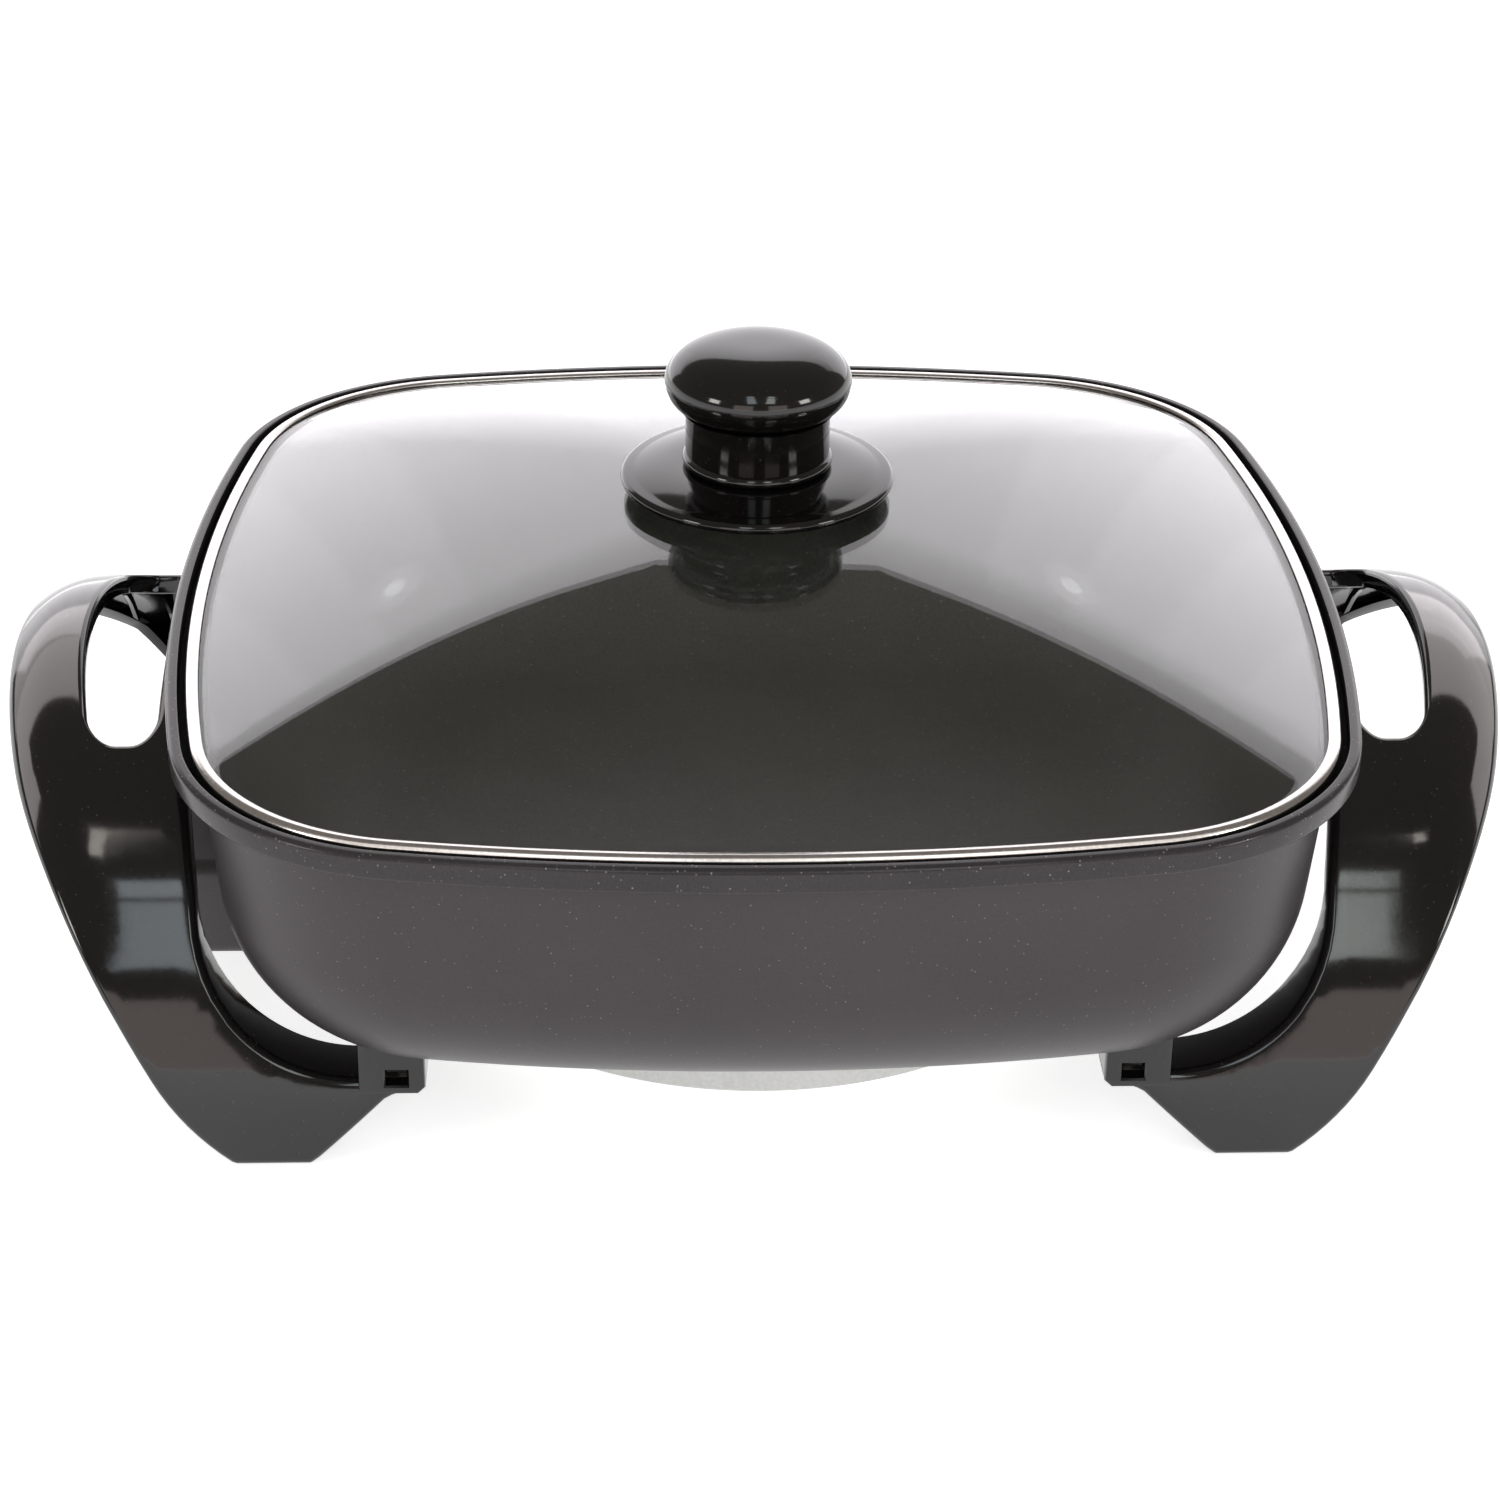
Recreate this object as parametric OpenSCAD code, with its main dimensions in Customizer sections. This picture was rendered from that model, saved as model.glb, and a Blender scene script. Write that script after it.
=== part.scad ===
// Electric skillet: a deep rounded-square pan on two looped side mouldings that are its
// handles and its legs, with a domed glass lid that lifts straight off.
// Frame: +Z up, worktop at z = 0, pan centred on the origin, heat-control inlet towards -X.

/* [Pan] */
// Width of the pan across the outside of its rim, the same in both directions
pan_w = 322; // [310:1:334]
// Height of the flat underside above the worktop
pan_lift = 31; // [29:1:34]
// Height of the pan from its underside to the top of the rim
pan_h = 87; // [84:1:94]
// Radius of the rim's corners, outside
rim_corner_r = 70; // [67:1:75]
// Radius of the gently bowed sides of the rim, outside
rim_side_r = 575; // [500:5:650]
// Thickness of the cast wall
wall_t = 4; // [3:0.25:4.5]
// Thickness of the cast floor
floor_t = 4.5; // [4:0.25:6]
// Draft of the wall, in degrees
wall_draft = 5.4; // [3:0.1:6.5]
// Outside radius of the bend between wall and floor
bend_r = 49; // [42:1:52]

/* [Rim] */
// Height of the thick band round the rim
rim_band_h = 6.8; // [6:0.2:9]
// How far the band stands out from the top of the wall
rim_band_out = 7.5; // [6:0.25:9]
// Radius of the band's top outer edge
rim_round_r = 1.6; // [1:0.1:2]
// Radius of the band's lower edge
rim_edge_r = 1; // [0.6:0.1:1.4]
// Thickness of the lip that stands round the lid
rim_lip_t = 3.2; // [2.5:0.1:3.6]
// Depth of the ledge that the lid rests on, below the top of the rim
ledge_drop = 4.8; // [4:0.1:5.2]
// Height of the concave step under the band
rim_cove_h = 3.6; // [2.5:0.1:4.5]

/* [Lid] */
// Clearance between the lip and the edge of the lid
lid_side_gap = 1.9; // [1:0.1:2.4]
// Clearance between the lid ring and the ledge under it
lid_seat_gap = 0.3; // [0.2:0.05:0.5]
// Width of the rolled steel ring, seen from above
ring_w = 3.6; // [3.2:0.1:5]
// Thickness of the sheet that the ring is rolled from
ring_t = 0.7; // [0.6:0.05:0.9]
// Thickness of the toughened glass
glass_t = 3.2; // [3:0.1:3.8]
// Radius of the ring's two outer edges
ring_round_r = 1.8; // [1.5:0.1:2.2]
// Clearance between the glass and the ring round it
glass_gap = 0.25; // [0.2:0.05:0.4]
// Rise of the glass from its flat border to the middle
dome_h = 30; // [25:0.5:35]
// Diameter of the hole for the knob screw
glass_hole_d = 9; // [8.5:0.1:10]

/* [Knob] */
// Diameter of the knob's cap
knob_d = 51; // [46:1:56]
// Height of the cap
cap_h = 19.5; // [17:0.5:22]
// Diameter of the neck under the cap
neck_d = 39.6; // [36:0.2:42]
// Height of the knob from the skirt's hub to the top of the cap
knob_h = 35.5; // [33:0.5:39]
// Diameter of the disc of the skirt
skirt_d = 75.2; // [68:0.4:82]
// Thickness of the skirt's disc at its edge
skirt_t = 3; // [2.4:0.1:3.4]
// Height of the skirt from the glass seal to the top of its hub
skirt_h = 5.5; // [4.5:0.5:7]
// Diameter of the skirt's hub
hub_d = 36; // [32:0.5:38]
// Radius of the bead between the knob and its skirt
bead_r = 1.7; // [1.2:0.1:2.2]
// Depth of the threaded insert in the knob
insert_h = 9; // [7:0.5:11]
// Wall of the threaded insert
insert_wall = 2; // [1.5:0.25:3]
// Thread diameter of the knob screw
knob_screw_d = 5; // [4:0.5:5.5]
// Diameter of the washers either side of the glass
knob_washer_d = 20; // [17:0.5:22]
// Thickness of each washer
knob_washer_t = 1.2; // [1:0.1:1.6]

/* [Side mouldings] */
// How far the top of the mouldings lies below the top of the rim
crest_drop = 9.5; // [8:0.5:13]
// How far the grip reaches out beyond the rim
grip_reach = 46; // [42:1:50]
// Width of the grip, from the finger opening to its outer edge
grip_w = 20; // [17:0.5:22]
// Plan radius of the grip's outer edge
grip_bow_r = 280; // [240:5:360]
// Gap between the rim and the finger opening, in plan
open_in = 2; // [1:0.5:4]
// Length of the finger opening, front to back
open_l = 104; // [90:1:110]
// Corner radius of the finger opening
open_r = 9; // [6:0.5:11]
// Depth of the mouldings round the finger opening, square to their skin
grip_depth = 5.5; // [5:0.5:8]
// Depth of a leg at its foot, front to back
leg_depth = 15.5; // [13:0.5:18]
// Lean of a leg's back, in degrees
leg_back_lean = 13; // [10:1:16]
// Thickness of the skin and the edge walls
mould_t = 3; // [2.4:0.1:3.4]
// How far the feet stand in from the line of the rim's sides, front and back
foot_inset = 48; // [44:1:52]
// Distance from the line of the rim's side in to the outer edge of a foot's flat
foot_out = 19.5; // [17:0.5:24]
// Width of a foot's flat
foot_w = 21; // [17:0.5:24]
// Height of the bend in the leg's outer edge
knee_z = 24; // [20:1:28]
// Distance from the line of the rim's side out to that bend
knee_out = 1.5; // [0:0.5:4]
// How far the grip's outer edge lies below the top of the mouldings
grip_edge_drop = 7.5; // [5:0.5:10]
// Radius of the crook in the leg's inner edge
crook_r = 42; // [38:1:45]
// Distance from the pan's underside down to the lowest point of the crook
crook_drop = 6.5; // [5.5:0.5:8]
// Distance from the line of the rim's side in to the widest point of the crook
crook_in = 11; // [10:0.5:14]
// Thickness of the toe that reaches in from the crook under the pan
toe_t = 3.5; // [3:0.25:4.5]
// How much thicker the toe is where it leaves the leg
toe_flare = 1.5; // [0.5:0.25:2.5]
// Length of the toe's even stretch
toe_run = 11; // [8:0.5:14]
// How far the leg's inner edge leans out from the crook to the top
edge_lean = 7; // [5:0.5:8]
// Number of stiffening ribs inside each leg
rib_n = 3; // [2:1:4]
// Thickness of a rib
rib_t = 1.8; // [1.4:0.1:2.2]
// How far the ribs stop short of the mouldings' back edges
rib_back = 0.5; // [0.4:0.1:1.5]

/* [Mounting tabs] */
// Distance from the face of a foot back to the front of its tab
tab_setback = 5; // [4:0.5:7]
// Width of a tab
tab_w = 19; // [17:0.5:22]
// Length of a tab, front to back
tab_l = 25; // [22:0.5:28]
// Thickness of a tab under its screw
tab_t = 3.6; // [3:0.1:4.2]
// Diameter of the cast bosses that the tabs screw to
boss_d = 12; // [10:0.5:13]
// Height of those bosses below the underside
boss_h = 6; // [5:0.25:6.5]
// Thread diameter of the tab screws
tab_screw_d = 5; // [4:0.5:5]
// Thickness of the washers under the tab screws
tab_washer_t = 1; // [0.8:0.1:1.2]
// Depth of the pocket in a tab's front face
pocket_depth = 2; // [1.2:0.1:2.6]
// Width of that pocket
pocket_w = 9; // [7:0.5:11]
// Height of that pocket
pocket_h = 6; // [4:0.5:7]

/* [Heater] */
// Radius of the element's ring
element_r = 80; // [74:1:84]
// Diameter of the element's sheath
element_d = 8; // [6.5:0.25:9]
// Distance between the two element legs
leg_pitch = 26; // [24:0.5:30]
// Radius of the bends where the ring turns into its legs
leg_bend_r = 14; // [12:0.5:16]
// Room between the element's ring and the side of the reflector
reflector_room = 14; // [11:0.5:17]
// Height of the reflector, from the underside down
reflector_h = 19; // [17:0.5:20.5]
// Thickness of the reflector's sheet
reflector_t = 1.2; // [0.8:0.1:1.5]
// How far the reflector's step stands in
reflector_step = 5; // [3:0.25:6]
// Radius of the reflector's three screws from the centre
reflector_screw_r = 52; // [44:1:58]
// Thread diameter of the reflector screws
reflector_screw_d = 4; // [3:0.5:4]
// Thickness of the washers under the reflector screws
reflector_washer_t = 0.8; // [0.6:0.1:1.2]

/* [Inlet] */
// Diameter of the terminal pins
pin_d = 5.5; // [4.8:0.1:6]
// Length of a pin beyond the terminal plate
pin_l = 27; // [22:0.5:32]
// Diameter of the ceramic bushes round the pins
bush_d = 11; // [9.5:0.25:12]
// Outside diameter of the sensor tube
sensor_d = 9; // [8:0.25:10]
// Bore of the sensor tube
sensor_bore_d = 6.4; // [5.6:0.1:7]
// Length of the sensor tube
sensor_l = 96; // [80:1:104]
// Distance from the line of the rim's side in to the terminal plate
plate_in = 22; // [20:0.5:25]
// Thickness of the terminal plate
plate_t = 2; // [1.5:0.25:2.5]
// Width of the guard round the inlet
guard_w = 62; // [58:1:68]
// Thickness of the guard's walls
guard_t = 2.8; // [2.2:0.1:3.2]
// Distance from the pan's underside down to the guard's lower edge
guard_drop = 16; // [14:0.5:18]
// Height of the guard's tunnel, outside
guard_h = 30; // [27:0.5:31]
// How far the guard's mouth lies out beyond the rim
guard_out = 20; // [14:1:26]
// Thread diameter of the guard screws
guard_screw_d = 3.5; // [3:0.5:4]
// Width of the cast lugs that the guard is screwed to
lug_w = 10; // [8:0.5:11]

/* [Hidden] */

$fn = 96;
side_n = 6;        // flats in each bowed side of the plan
corner_n = 10;     // flats in each corner of the plan
bend_n = 7;        // flats in the bend of the pan's section
dome_n = 8;        // flats from the middle of the dome to its border
eps = 0.01;        // overlap that joins two outlines of one solid
past = 1;          // how far a cutting solid reaches past the faces that it cuts
free_gap = 0.3;    // between pieces that only lie next to each other
hole_play = 0.5;   // between a screw or a pin and a hole that it only passes through
thread_l = 8;      // length of thread that a small screw grips
head_ratio = 1.8;  // diameter of a screw's head to that of its thread
head_t_ratio = 0.52; // thickness of a screw's head to the diameter of its thread

// Plan of the rim: four bowed sides and four round corners, all tangent
half = pan_w / 2;
side_c = half - rim_side_r;
corner_c = corner_centre(rim_side_r - rim_corner_r, side_c);
side_a = atan2(corner_c, corner_c - side_c);
function corner_centre(gap, sc) = (sc + sqrt(2 * gap * gap - sc * sc)) / 2;

// Heights of the pan
rim_z = pan_lift + pan_h;
band_z = rim_z - rim_band_h;
wall_z = band_z - rim_cove_h;
ledge_z = rim_z - ledge_drop;
floor_z = pan_lift + floor_t;

// Section of the pan as distances inwards from the rim's outside, all of them negative
wall_tan = tan(wall_draft);
bend_z = pan_lift + bend_r;
bend_c = -rim_band_out - (wall_z - bend_z) * wall_tan - bend_r / cos(wall_draft);
inner_r = bend_r - wall_t;
inner_c = bend_c;
inner_z = floor_z + inner_r;
function wall_at(z) = bend_c + bend_r / cos(wall_draft) + (z - bend_z) * wall_tan;
function inner_at(z) = inner_c + inner_r / cos(wall_draft) + (z - inner_z) * wall_tan;
// Height of the underside at a distance inwards from the rim's outside
function under_z(d) = d < bend_c ? pan_lift : bend_z - sqrt(bend_r * bend_r - pow(d - bend_c, 2));

// Mouldings
crest_z = rim_z - crest_drop;
foot_y = half - foot_inset;
arch_z = (crest_z * crest_z - foot_y * foot_y) / (2 * crest_z);
arch_r = crest_z - arch_z;
// Distance of a leg's back from the middle of the pan, front or back, at a height
function back_y(z) = foot_y - leg_depth - z * tan(leg_back_lean);
grip_x = half + grip_reach;
knee_x = half + knee_out;
lean_a = atan2(grip_x - knee_x, crest_z - grip_edge_drop - knee_z);
foot_x1 = half - foot_out;
foot_x0 = foot_x1 - foot_w;
open_x0 = half + open_in;
open_x1 = grip_x - grip_w;
crook_x = half - crook_in - crook_r;
crook_z = pan_lift - crook_drop;
toe_x = crook_x - tab_w;
toe_z = crook_z - toe_t;

// Circle of the foot's outer edge: tangent to the leaning edge at the knee, through the foot
knee_n = [-cos(lean_a), sin(lean_a)];
knee_v = [foot_x1 - knee_x, -knee_z];
heel_r = (knee_v * knee_v) / (2 * (knee_v * knee_n));
heel_c = [knee_x, knee_z] + heel_r * knee_n;

// Tabs and their screws
tab_front = foot_y - tab_setback;
tab_x = toe_x + tab_w / 2;
tab_y = tab_front - (tab_l + pocket_depth) / 2;
boss_z = pan_lift - boss_h;
tab_z = boss_z - tab_t;
tab_top_z = under_z(norm([crook_x - corner_c, tab_front - corner_c]) - rim_corner_r);
tab_washer_d = 2 * tab_screw_d + 1;
tab_screw_len = tab_washer_t + tab_t + boss_h;

// Heater
element_z = pan_lift - element_d / 2;
leg_y = leg_pitch / 2;
bend_x = sqrt(pow(element_r + leg_bend_r, 2) - pow(leg_y + leg_bend_r, 2));
ring_a = atan2(leg_y + leg_bend_r, bend_x);
reflector_r = element_r + element_d / 2 + reflector_room;
reflector_z = pan_lift - reflector_h;
reflector_step_z = reflector_z + reflector_h * 0.45;
post_d = 2 * reflector_screw_d + 1;
reflector_screw_len = reflector_washer_t + reflector_t + thread_l;

// Inlet
plate_x = half - plate_in;
mouth_x = half + guard_out;
pin_z = element_z;
pin_lead = 1;      // chamfer at the tip of a pin
pin_shoulder = 0.5;  // how far off its bush a pin's full diameter starts
pin_shank_d = pin_d - 1.1;
sensor_z = pan_lift - sensor_d / 2;
sensor_stand = 2;  // how far the sensor tube stands out beyond the bushes
guard_z = pan_lift - guard_drop;
guard_top_z = guard_z + guard_h;
guard_wall_x = -plate_x - plate_t - guard_t;
guard_screw_z = guard_top_z - guard_t - lug_w / 2;
lug_l = thread_l + wall_t + 2;
lug_y = (guard_w - lug_w) / 2 - guard_t - free_gap;
bush_stand = 1.5;  // how far a bush stands out beyond the guard's flanges
bush_l = plate_t + guard_t + 2 * bush_stand + 2;
bush_x = guard_wall_x - bush_stand;

// Lid, as distances inwards from the rim's outside
ring_out_d = -rim_lip_t - lid_side_gap;
ring_in_d = ring_out_d - ring_w;
ring_z = ledge_z + lid_seat_gap;
ring_h = glass_t + 2 * glass_gap + 2 * ring_t;
glass_d = ring_out_d - ring_t - glass_gap;
border_d = ring_in_d - glass_gap;
hole_r = glass_hole_d / 2;
glass_z = ring_z + ring_t + glass_gap;
glass_top_z = glass_z + glass_t + dome_h;

// Knob stack, upwards from the middle of the glass
seal_z = glass_top_z;
skirt_z = seal_z + knob_washer_t;
hub_z = skirt_z + skirt_h;
insert_d = knob_screw_d + 2 * insert_wall;

// The washers under the glass seat on the first flats of the dome, a little below its middle
border_r = half + border_d;
flat_r = hole_r + (border_r - hole_r) / dome_n;
seat_drop = fall(hole_r) + (fall(flat_r) - fall(hole_r)) * (knob_washer_d / 2 - hole_r) / (flat_r - hole_r);
washer_z = glass_top_z - glass_t - seat_drop;
screw_z = washer_z - 2 * knob_washer_t;
function fall(r) = dome_h - dome(r / border_r);
knob_screw_len = hub_z + insert_h - screw_z - past;

// ---------------------------------------------------------------- shared shapes

// Points of the plan at a distance outwards from the rim's outside, one list for every distance:
// each point moves along its own arc's radius
function arc_points(c, r, a0, a1, n) = [for (k = [0:n - 1]) c + r * dir(a0 + (a1 - a0) * k / n)];
function dir(a) = [cos(a), sin(a)];
function turn(p, q) = let (c = cos(90 * q), s = sin(90 * q)) [p[0] * c - p[1] * s, p[0] * s + p[1] * c];
function plan_outline(d) = [for (q = [0:3]) for (p = concat(
    arc_points([side_c, 0], rim_side_r + d, -side_a, side_a, side_n),
    arc_points([corner_c, corner_c], rim_corner_r + d, side_a, 90 - side_a, corner_n))) turn(p, q)];
plan_n = 4 * (side_n + corner_n);

// Carries a section round the plan. Its points are [distance outwards from the rim, height],
// anticlockwise. An open section starts and ends at flat faces, a closed one makes a ring.
module loft(section, closed = false) {
    n = plan_n;
    m = len(section);
    points = [for (s = section) for (p = plan_outline(s[0])) [p[0], p[1], s[1]]];
    walls = [for (k = [0 : closed ? m - 1 : m - 2]) for (i = [0:n - 1])
        let (j = (i + 1) % n, a = k * n, b = ((k + 1) % m) * n)
            each [[a + i, b + i, b + j], [a + i, b + j, a + j]]];
    ends = closed ? [] : [[for (i = [0:n - 1]) i], [for (i = [n - 1 : -1 : 0]) (m - 1) * n + i]];
    polyhedron(points, concat(walls, ends));
}

// Arc of a section, from one angle to another
function section_arc(c, r, a0, a1, n) = [for (k = [0:n]) c + r * dir(a0 + (a1 - a0) * k / n)];

// Round bend under one side of the pan, as a ring of radius r about the bend's own line
module side_bend(r) {
    translate([-side_c, 0, bend_z]) rotate_extrude($fn = 720)
        translate([rim_side_r + bend_c, 0]) circle(r);
}

// Round bend under one corner of the pan, filled in to the corner's centre line
module corner_bend(r) {
    translate([corner_c, corner_c, bend_z]) rotate_extrude() intersection() {
        union() {
            translate([rim_corner_r + bend_c, 0]) circle(r);
            translate([0, -r]) square([rim_corner_r + bend_c, 2 * r]);
        }
        translate([0, -r]) square([rim_corner_r + bend_c + r, 2 * r]);
    }
}

module rod_x(x0, x1, y, z, d) {
    translate([x0, y, z]) rotate([0, 90, 0]) cylinder(d = d, h = x1 - x0);
}

// Screw that points up, with the face under its head at the origin
module screw_up(d, len) {
    head_t = d * head_t_ratio;
    translate([0, 0, -head_t]) cylinder(d = d * head_ratio, h = head_t);
    translate([0, 0, -head_t / 2]) cylinder(d = d, h = len + head_t / 2);
}

module washer(d, hole_d, t) {
    difference() {
        cylinder(d = d, h = t);
        translate([0, 0, -past]) cylinder(d = hole_d, h = t + 2 * past);
    }
}

// ---------------------------------------------------------------- pan

pan_section = concat(
    section_arc([bend_c, bend_z], bend_r, -90, -wall_draft, bend_n),
    [[wall_at(wall_z), wall_z]],
    section_arc([-rim_band_out + rim_cove_h, wall_z], rim_cove_h, 180, 90, 3),
    section_arc([-rim_edge_r, band_z + rim_edge_r], rim_edge_r, -90, 0, 2),
    section_arc([-rim_round_r, rim_z - rim_round_r], rim_round_r, 0, 90, 3),
    [[-rim_lip_t, rim_z], [-rim_lip_t, ledge_z], [inner_at(ledge_z), ledge_z]],
    section_arc([inner_c, inner_z], inner_r, -wall_draft, -90, bend_n));

module boss_places() {
    for (sx = [-1, 1]) for (sy = [-1, 1]) translate([sx * tab_x, sy * tab_y, boss_z]) children();
}

module reflector_places() {
    for (a = [0, 120, 240]) rotate([0, 0, a]) translate([reflector_screw_r, 0, 0]) children();
}

module guard_lugs() {
    difference() {
        for (s = [-1, 1])
            translate([-plate_x, s * lug_y - lug_w / 2, guard_screw_z - lug_w / 2])
                cube([lug_l, lug_w, bend_r]);
        side_bend(bend_r - wall_t / 2);
    }
}

module pan() {
    color([0.29, 0.28, 0.29]) difference() {
        union() {
            loft(pan_section);
            boss_places() cylinder(d = boss_d, h = boss_h + floor_t);
            reflector_places() translate([0, 0, reflector_z + reflector_t])
                cylinder(d = post_d, h = reflector_h);
            guard_lugs();
        }
        boss_places() translate([0, 0, -past]) cylinder(d = tab_screw_d, h = boss_h + 2 * past);
        reflector_places() translate([0, 0, reflector_z])
            cylinder(d = reflector_screw_d, h = reflector_t + thread_l + past);
        for (s = [-1, 1])
            rod_x(-plate_x - past, -plate_x + thread_l + past, s * lug_y, guard_screw_z, guard_screw_d);
    }
}

// ---------------------------------------------------------------- heater

// Middle line of one half of the element: half the ring, the bend and the leg, from +X round to -X
element_line = concat(
    section_arc([0, 0], element_r, 0, 180 - ring_a, 20),
    section_arc([-bend_x, leg_y + leg_bend_r], leg_bend_r, -ring_a, -90, 5),
    [[bush_x + bush_l, leg_y]]);

// Tube along a flat open line: rings of points square to it, with flat ends
module tube(line, d, n) {
    m = len(line);
    function way(k) = let (v = line[min(k + 1, m - 1)] - line[max(k - 1, 0)]) v / norm(v);
    points = [for (k = [0:m - 1]) for (i = [0:n - 1])
        let (w = way(k), p = d / 2 * dir(360 * i / n))
            [line[k][0] + w[1] * p[0], line[k][1] - w[0] * p[0], p[1]]];
    walls = [for (k = [0:m - 2]) for (i = [0:n - 1]) let (j = (i + 1) % n, a = k * n, b = a + n)
        each [[a + i, b + i, b + j], [a + i, b + j, a + j]]];
    ends = [[for (i = [0:n - 1]) i], [for (i = [n - 1 : -1 : 0]) (m - 1) * n + i]];
    polyhedron(points, concat(walls, ends));
}

module heating_element() {
    other = [for (k = [len(element_line) - 1 : -1 : 1]) [element_line[k][0], -element_line[k][1]]];
    color([0.42, 0.41, 0.39]) translate([0, 0, element_z])
        tube(concat(other, element_line), element_d, 14);
}

// Half section of the reflector's outside, or of its hollow, drawn in by t
module reflector_section(t) {
    polygon([[0, reflector_z + t], [reflector_r - reflector_step - t, reflector_z + t],
             [reflector_r - reflector_step - t, reflector_step_z + t],
             [reflector_r - t, reflector_step_z + t],
             [reflector_r - t, pan_lift - free_gap + t], [0, pan_lift - free_gap + t]]);
}

module reflector() {
    color([0.8, 0.8, 0.8]) difference() {
        rotate_extrude() difference() {
            reflector_section(0);
            reflector_section(reflector_t);
        }
        translate([-reflector_r - past, -leg_y - element_d, element_z - element_d / 2 - past])
            cube([reflector_room, leg_pitch + 2 * element_d, reflector_h]);
        reflector_places() translate([0, 0, reflector_z - past])
            cylinder(d = reflector_screw_d + hole_play, h = reflector_t + 2 * past);
    }
}

module reflector_washers() {
    color([0.75, 0.75, 0.75]) reflector_places() translate([0, 0, reflector_z - reflector_washer_t])
        washer(post_d, reflector_screw_d + hole_play, reflector_washer_t);
}

module reflector_screws() {
    color([0.7, 0.7, 0.7]) reflector_places() translate([0, 0, reflector_z - reflector_washer_t])
        screw_up(reflector_screw_d, reflector_screw_len);
}

// ---------------------------------------------------------------- inlet

// Room inside the guard's tunnel, between two places along it and drawn in by gap
module guard_room(x0, x1, gap) {
    wall = guard_t + gap;
    translate([x0, wall - guard_w / 2, guard_z + wall])
        cube([x1 - x0, guard_w - 2 * wall, guard_h - 2 * wall]);
}

module guard_screw_holes() {
    for (s = [-1, 1])
        rod_x(guard_wall_x - past, -plate_x + past, s * lug_y, guard_screw_z, guard_screw_d + hole_play);
}

module terminal_plate() {
    x0 = -plate_x - plate_t - past;
    x1 = -plate_x + past;
    color([0.62, 0.62, 0.6]) difference() {
        guard_room(-plate_x - plate_t, -plate_x, free_gap);
        guard_screw_holes();
        for (s = [-1, 1]) rod_x(x0, x1, s * leg_y, pin_z, bush_d);
        rod_x(x0, x1, 0, sensor_z, sensor_d + hole_play);
    }
}

module terminal_bush(s) {
    color([0.9, 0.88, 0.82]) difference() {
        rod_x(bush_x, bush_x + bush_l, s * leg_y, pin_z, bush_d);
        rod_x(bush_x - past, bush_x + bush_l + past, s * leg_y, pin_z, pin_shank_d);
    }
}

module terminal_bush_front() {
    terminal_bush(-1);
}

module terminal_bush_rear() {
    terminal_bush(1);
}

module terminal_pin(s) {
    tip = -plate_x - plate_t - pin_l;
    shoulder_x = bush_x - pin_shoulder;
    color([0.72, 0.72, 0.7]) {
        rod_x(shoulder_x, bush_x + bush_l, s * leg_y, pin_z, pin_shank_d);
        rod_x(tip + pin_lead, shoulder_x, s * leg_y, pin_z, pin_d);
        translate([tip, s * leg_y, pin_z]) rotate([0, 90, 0])
            cylinder(d1 = pin_d - 2 * pin_lead, d2 = pin_d, h = pin_lead);
    }
}

module terminal_pin_front() {
    terminal_pin(-1);
}

module terminal_pin_rear() {
    terminal_pin(1);
}

module sensor_tube() {
    x0 = bush_x - sensor_stand;
    color([0.7, 0.7, 0.7]) difference() {
        rod_x(x0, x0 + sensor_l, 0, sensor_z, sensor_d);
        rod_x(x0 - past, x0 + sensor_l - (sensor_d - sensor_bore_d), 0, sensor_z, sensor_bore_d);
    }
}

// Tunnel open at both ends, with a flange at each side that the terminal plate lies behind
module inlet_guard() {
    flange_y = leg_y + bush_d / 2 + hole_play;
    color([0.1, 0.1, 0.1]) difference() {
        translate([-mouth_x, -guard_w / 2, guard_z]) cube([mouth_x - plate_x, guard_w, guard_h]);
        guard_room(-mouth_x - past, guard_wall_x, 0);
        guard_room(-plate_x - plate_t, -plate_x + past, 0);
        translate([guard_wall_x - past, -flange_y, guard_z + guard_t])
            cube([guard_t + 2 * past, 2 * flange_y, guard_h - 2 * guard_t]);
        guard_screw_holes();
        side_bend(bend_r + free_gap);
    }
}

module guard_screws() {
    for (s = [-1, 1])
        color([0.7, 0.7, 0.7]) translate([guard_wall_x, s * lug_y, guard_screw_z])
            rotate([0, 90, 0]) screw_up(guard_screw_d, guard_t + plate_t + thread_l);
}

// ---------------------------------------------------------------- side mouldings

// Front outline of one leg, x outwards and y up, drawn in by g all round: the leaning grip and
// leg over the round heel, less the crook over the toe and the hollow between toe and foot
module leg_outline(g) {
    lean = tan(lean_a);
    gx = g / cos(lean_a);
    crook_top = crook_z + crook_r;
    crook_out = crook_x + crook_r + g;
    difference() {
        union() {
            polygon([[toe_x + g, knee_z - eps], [knee_x - gx, knee_z - eps],
                     [knee_x - gx + (rim_z - knee_z) * lean, rim_z], [toe_x + g, rim_z]]);
            intersection() {
                translate(heel_c) circle(heel_r - g, $fn = 360);
                translate([toe_x + g, g]) square([knee_x - toe_x, knee_z - g]);
            }
        }
        translate([crook_x, crook_top]) circle(crook_r + g, $fn = 180);
        polygon([[toe_x - past, crook_z - g], [crook_x, crook_z - g], [crook_x, crook_top],
                 [crook_out, crook_top], [crook_out + edge_lean, crest_z],
                 [crook_out + edge_lean, rim_z + past], [toe_x - past, rim_z + past]]);
        translate([g, g]) polygon([[0, -past - g], [foot_x0, -past - g], [foot_x0, 0],
                                   [toe_x + toe_run, toe_z - toe_flare], [toe_x, toe_z], [0, toe_z]]);
    }
}

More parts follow.
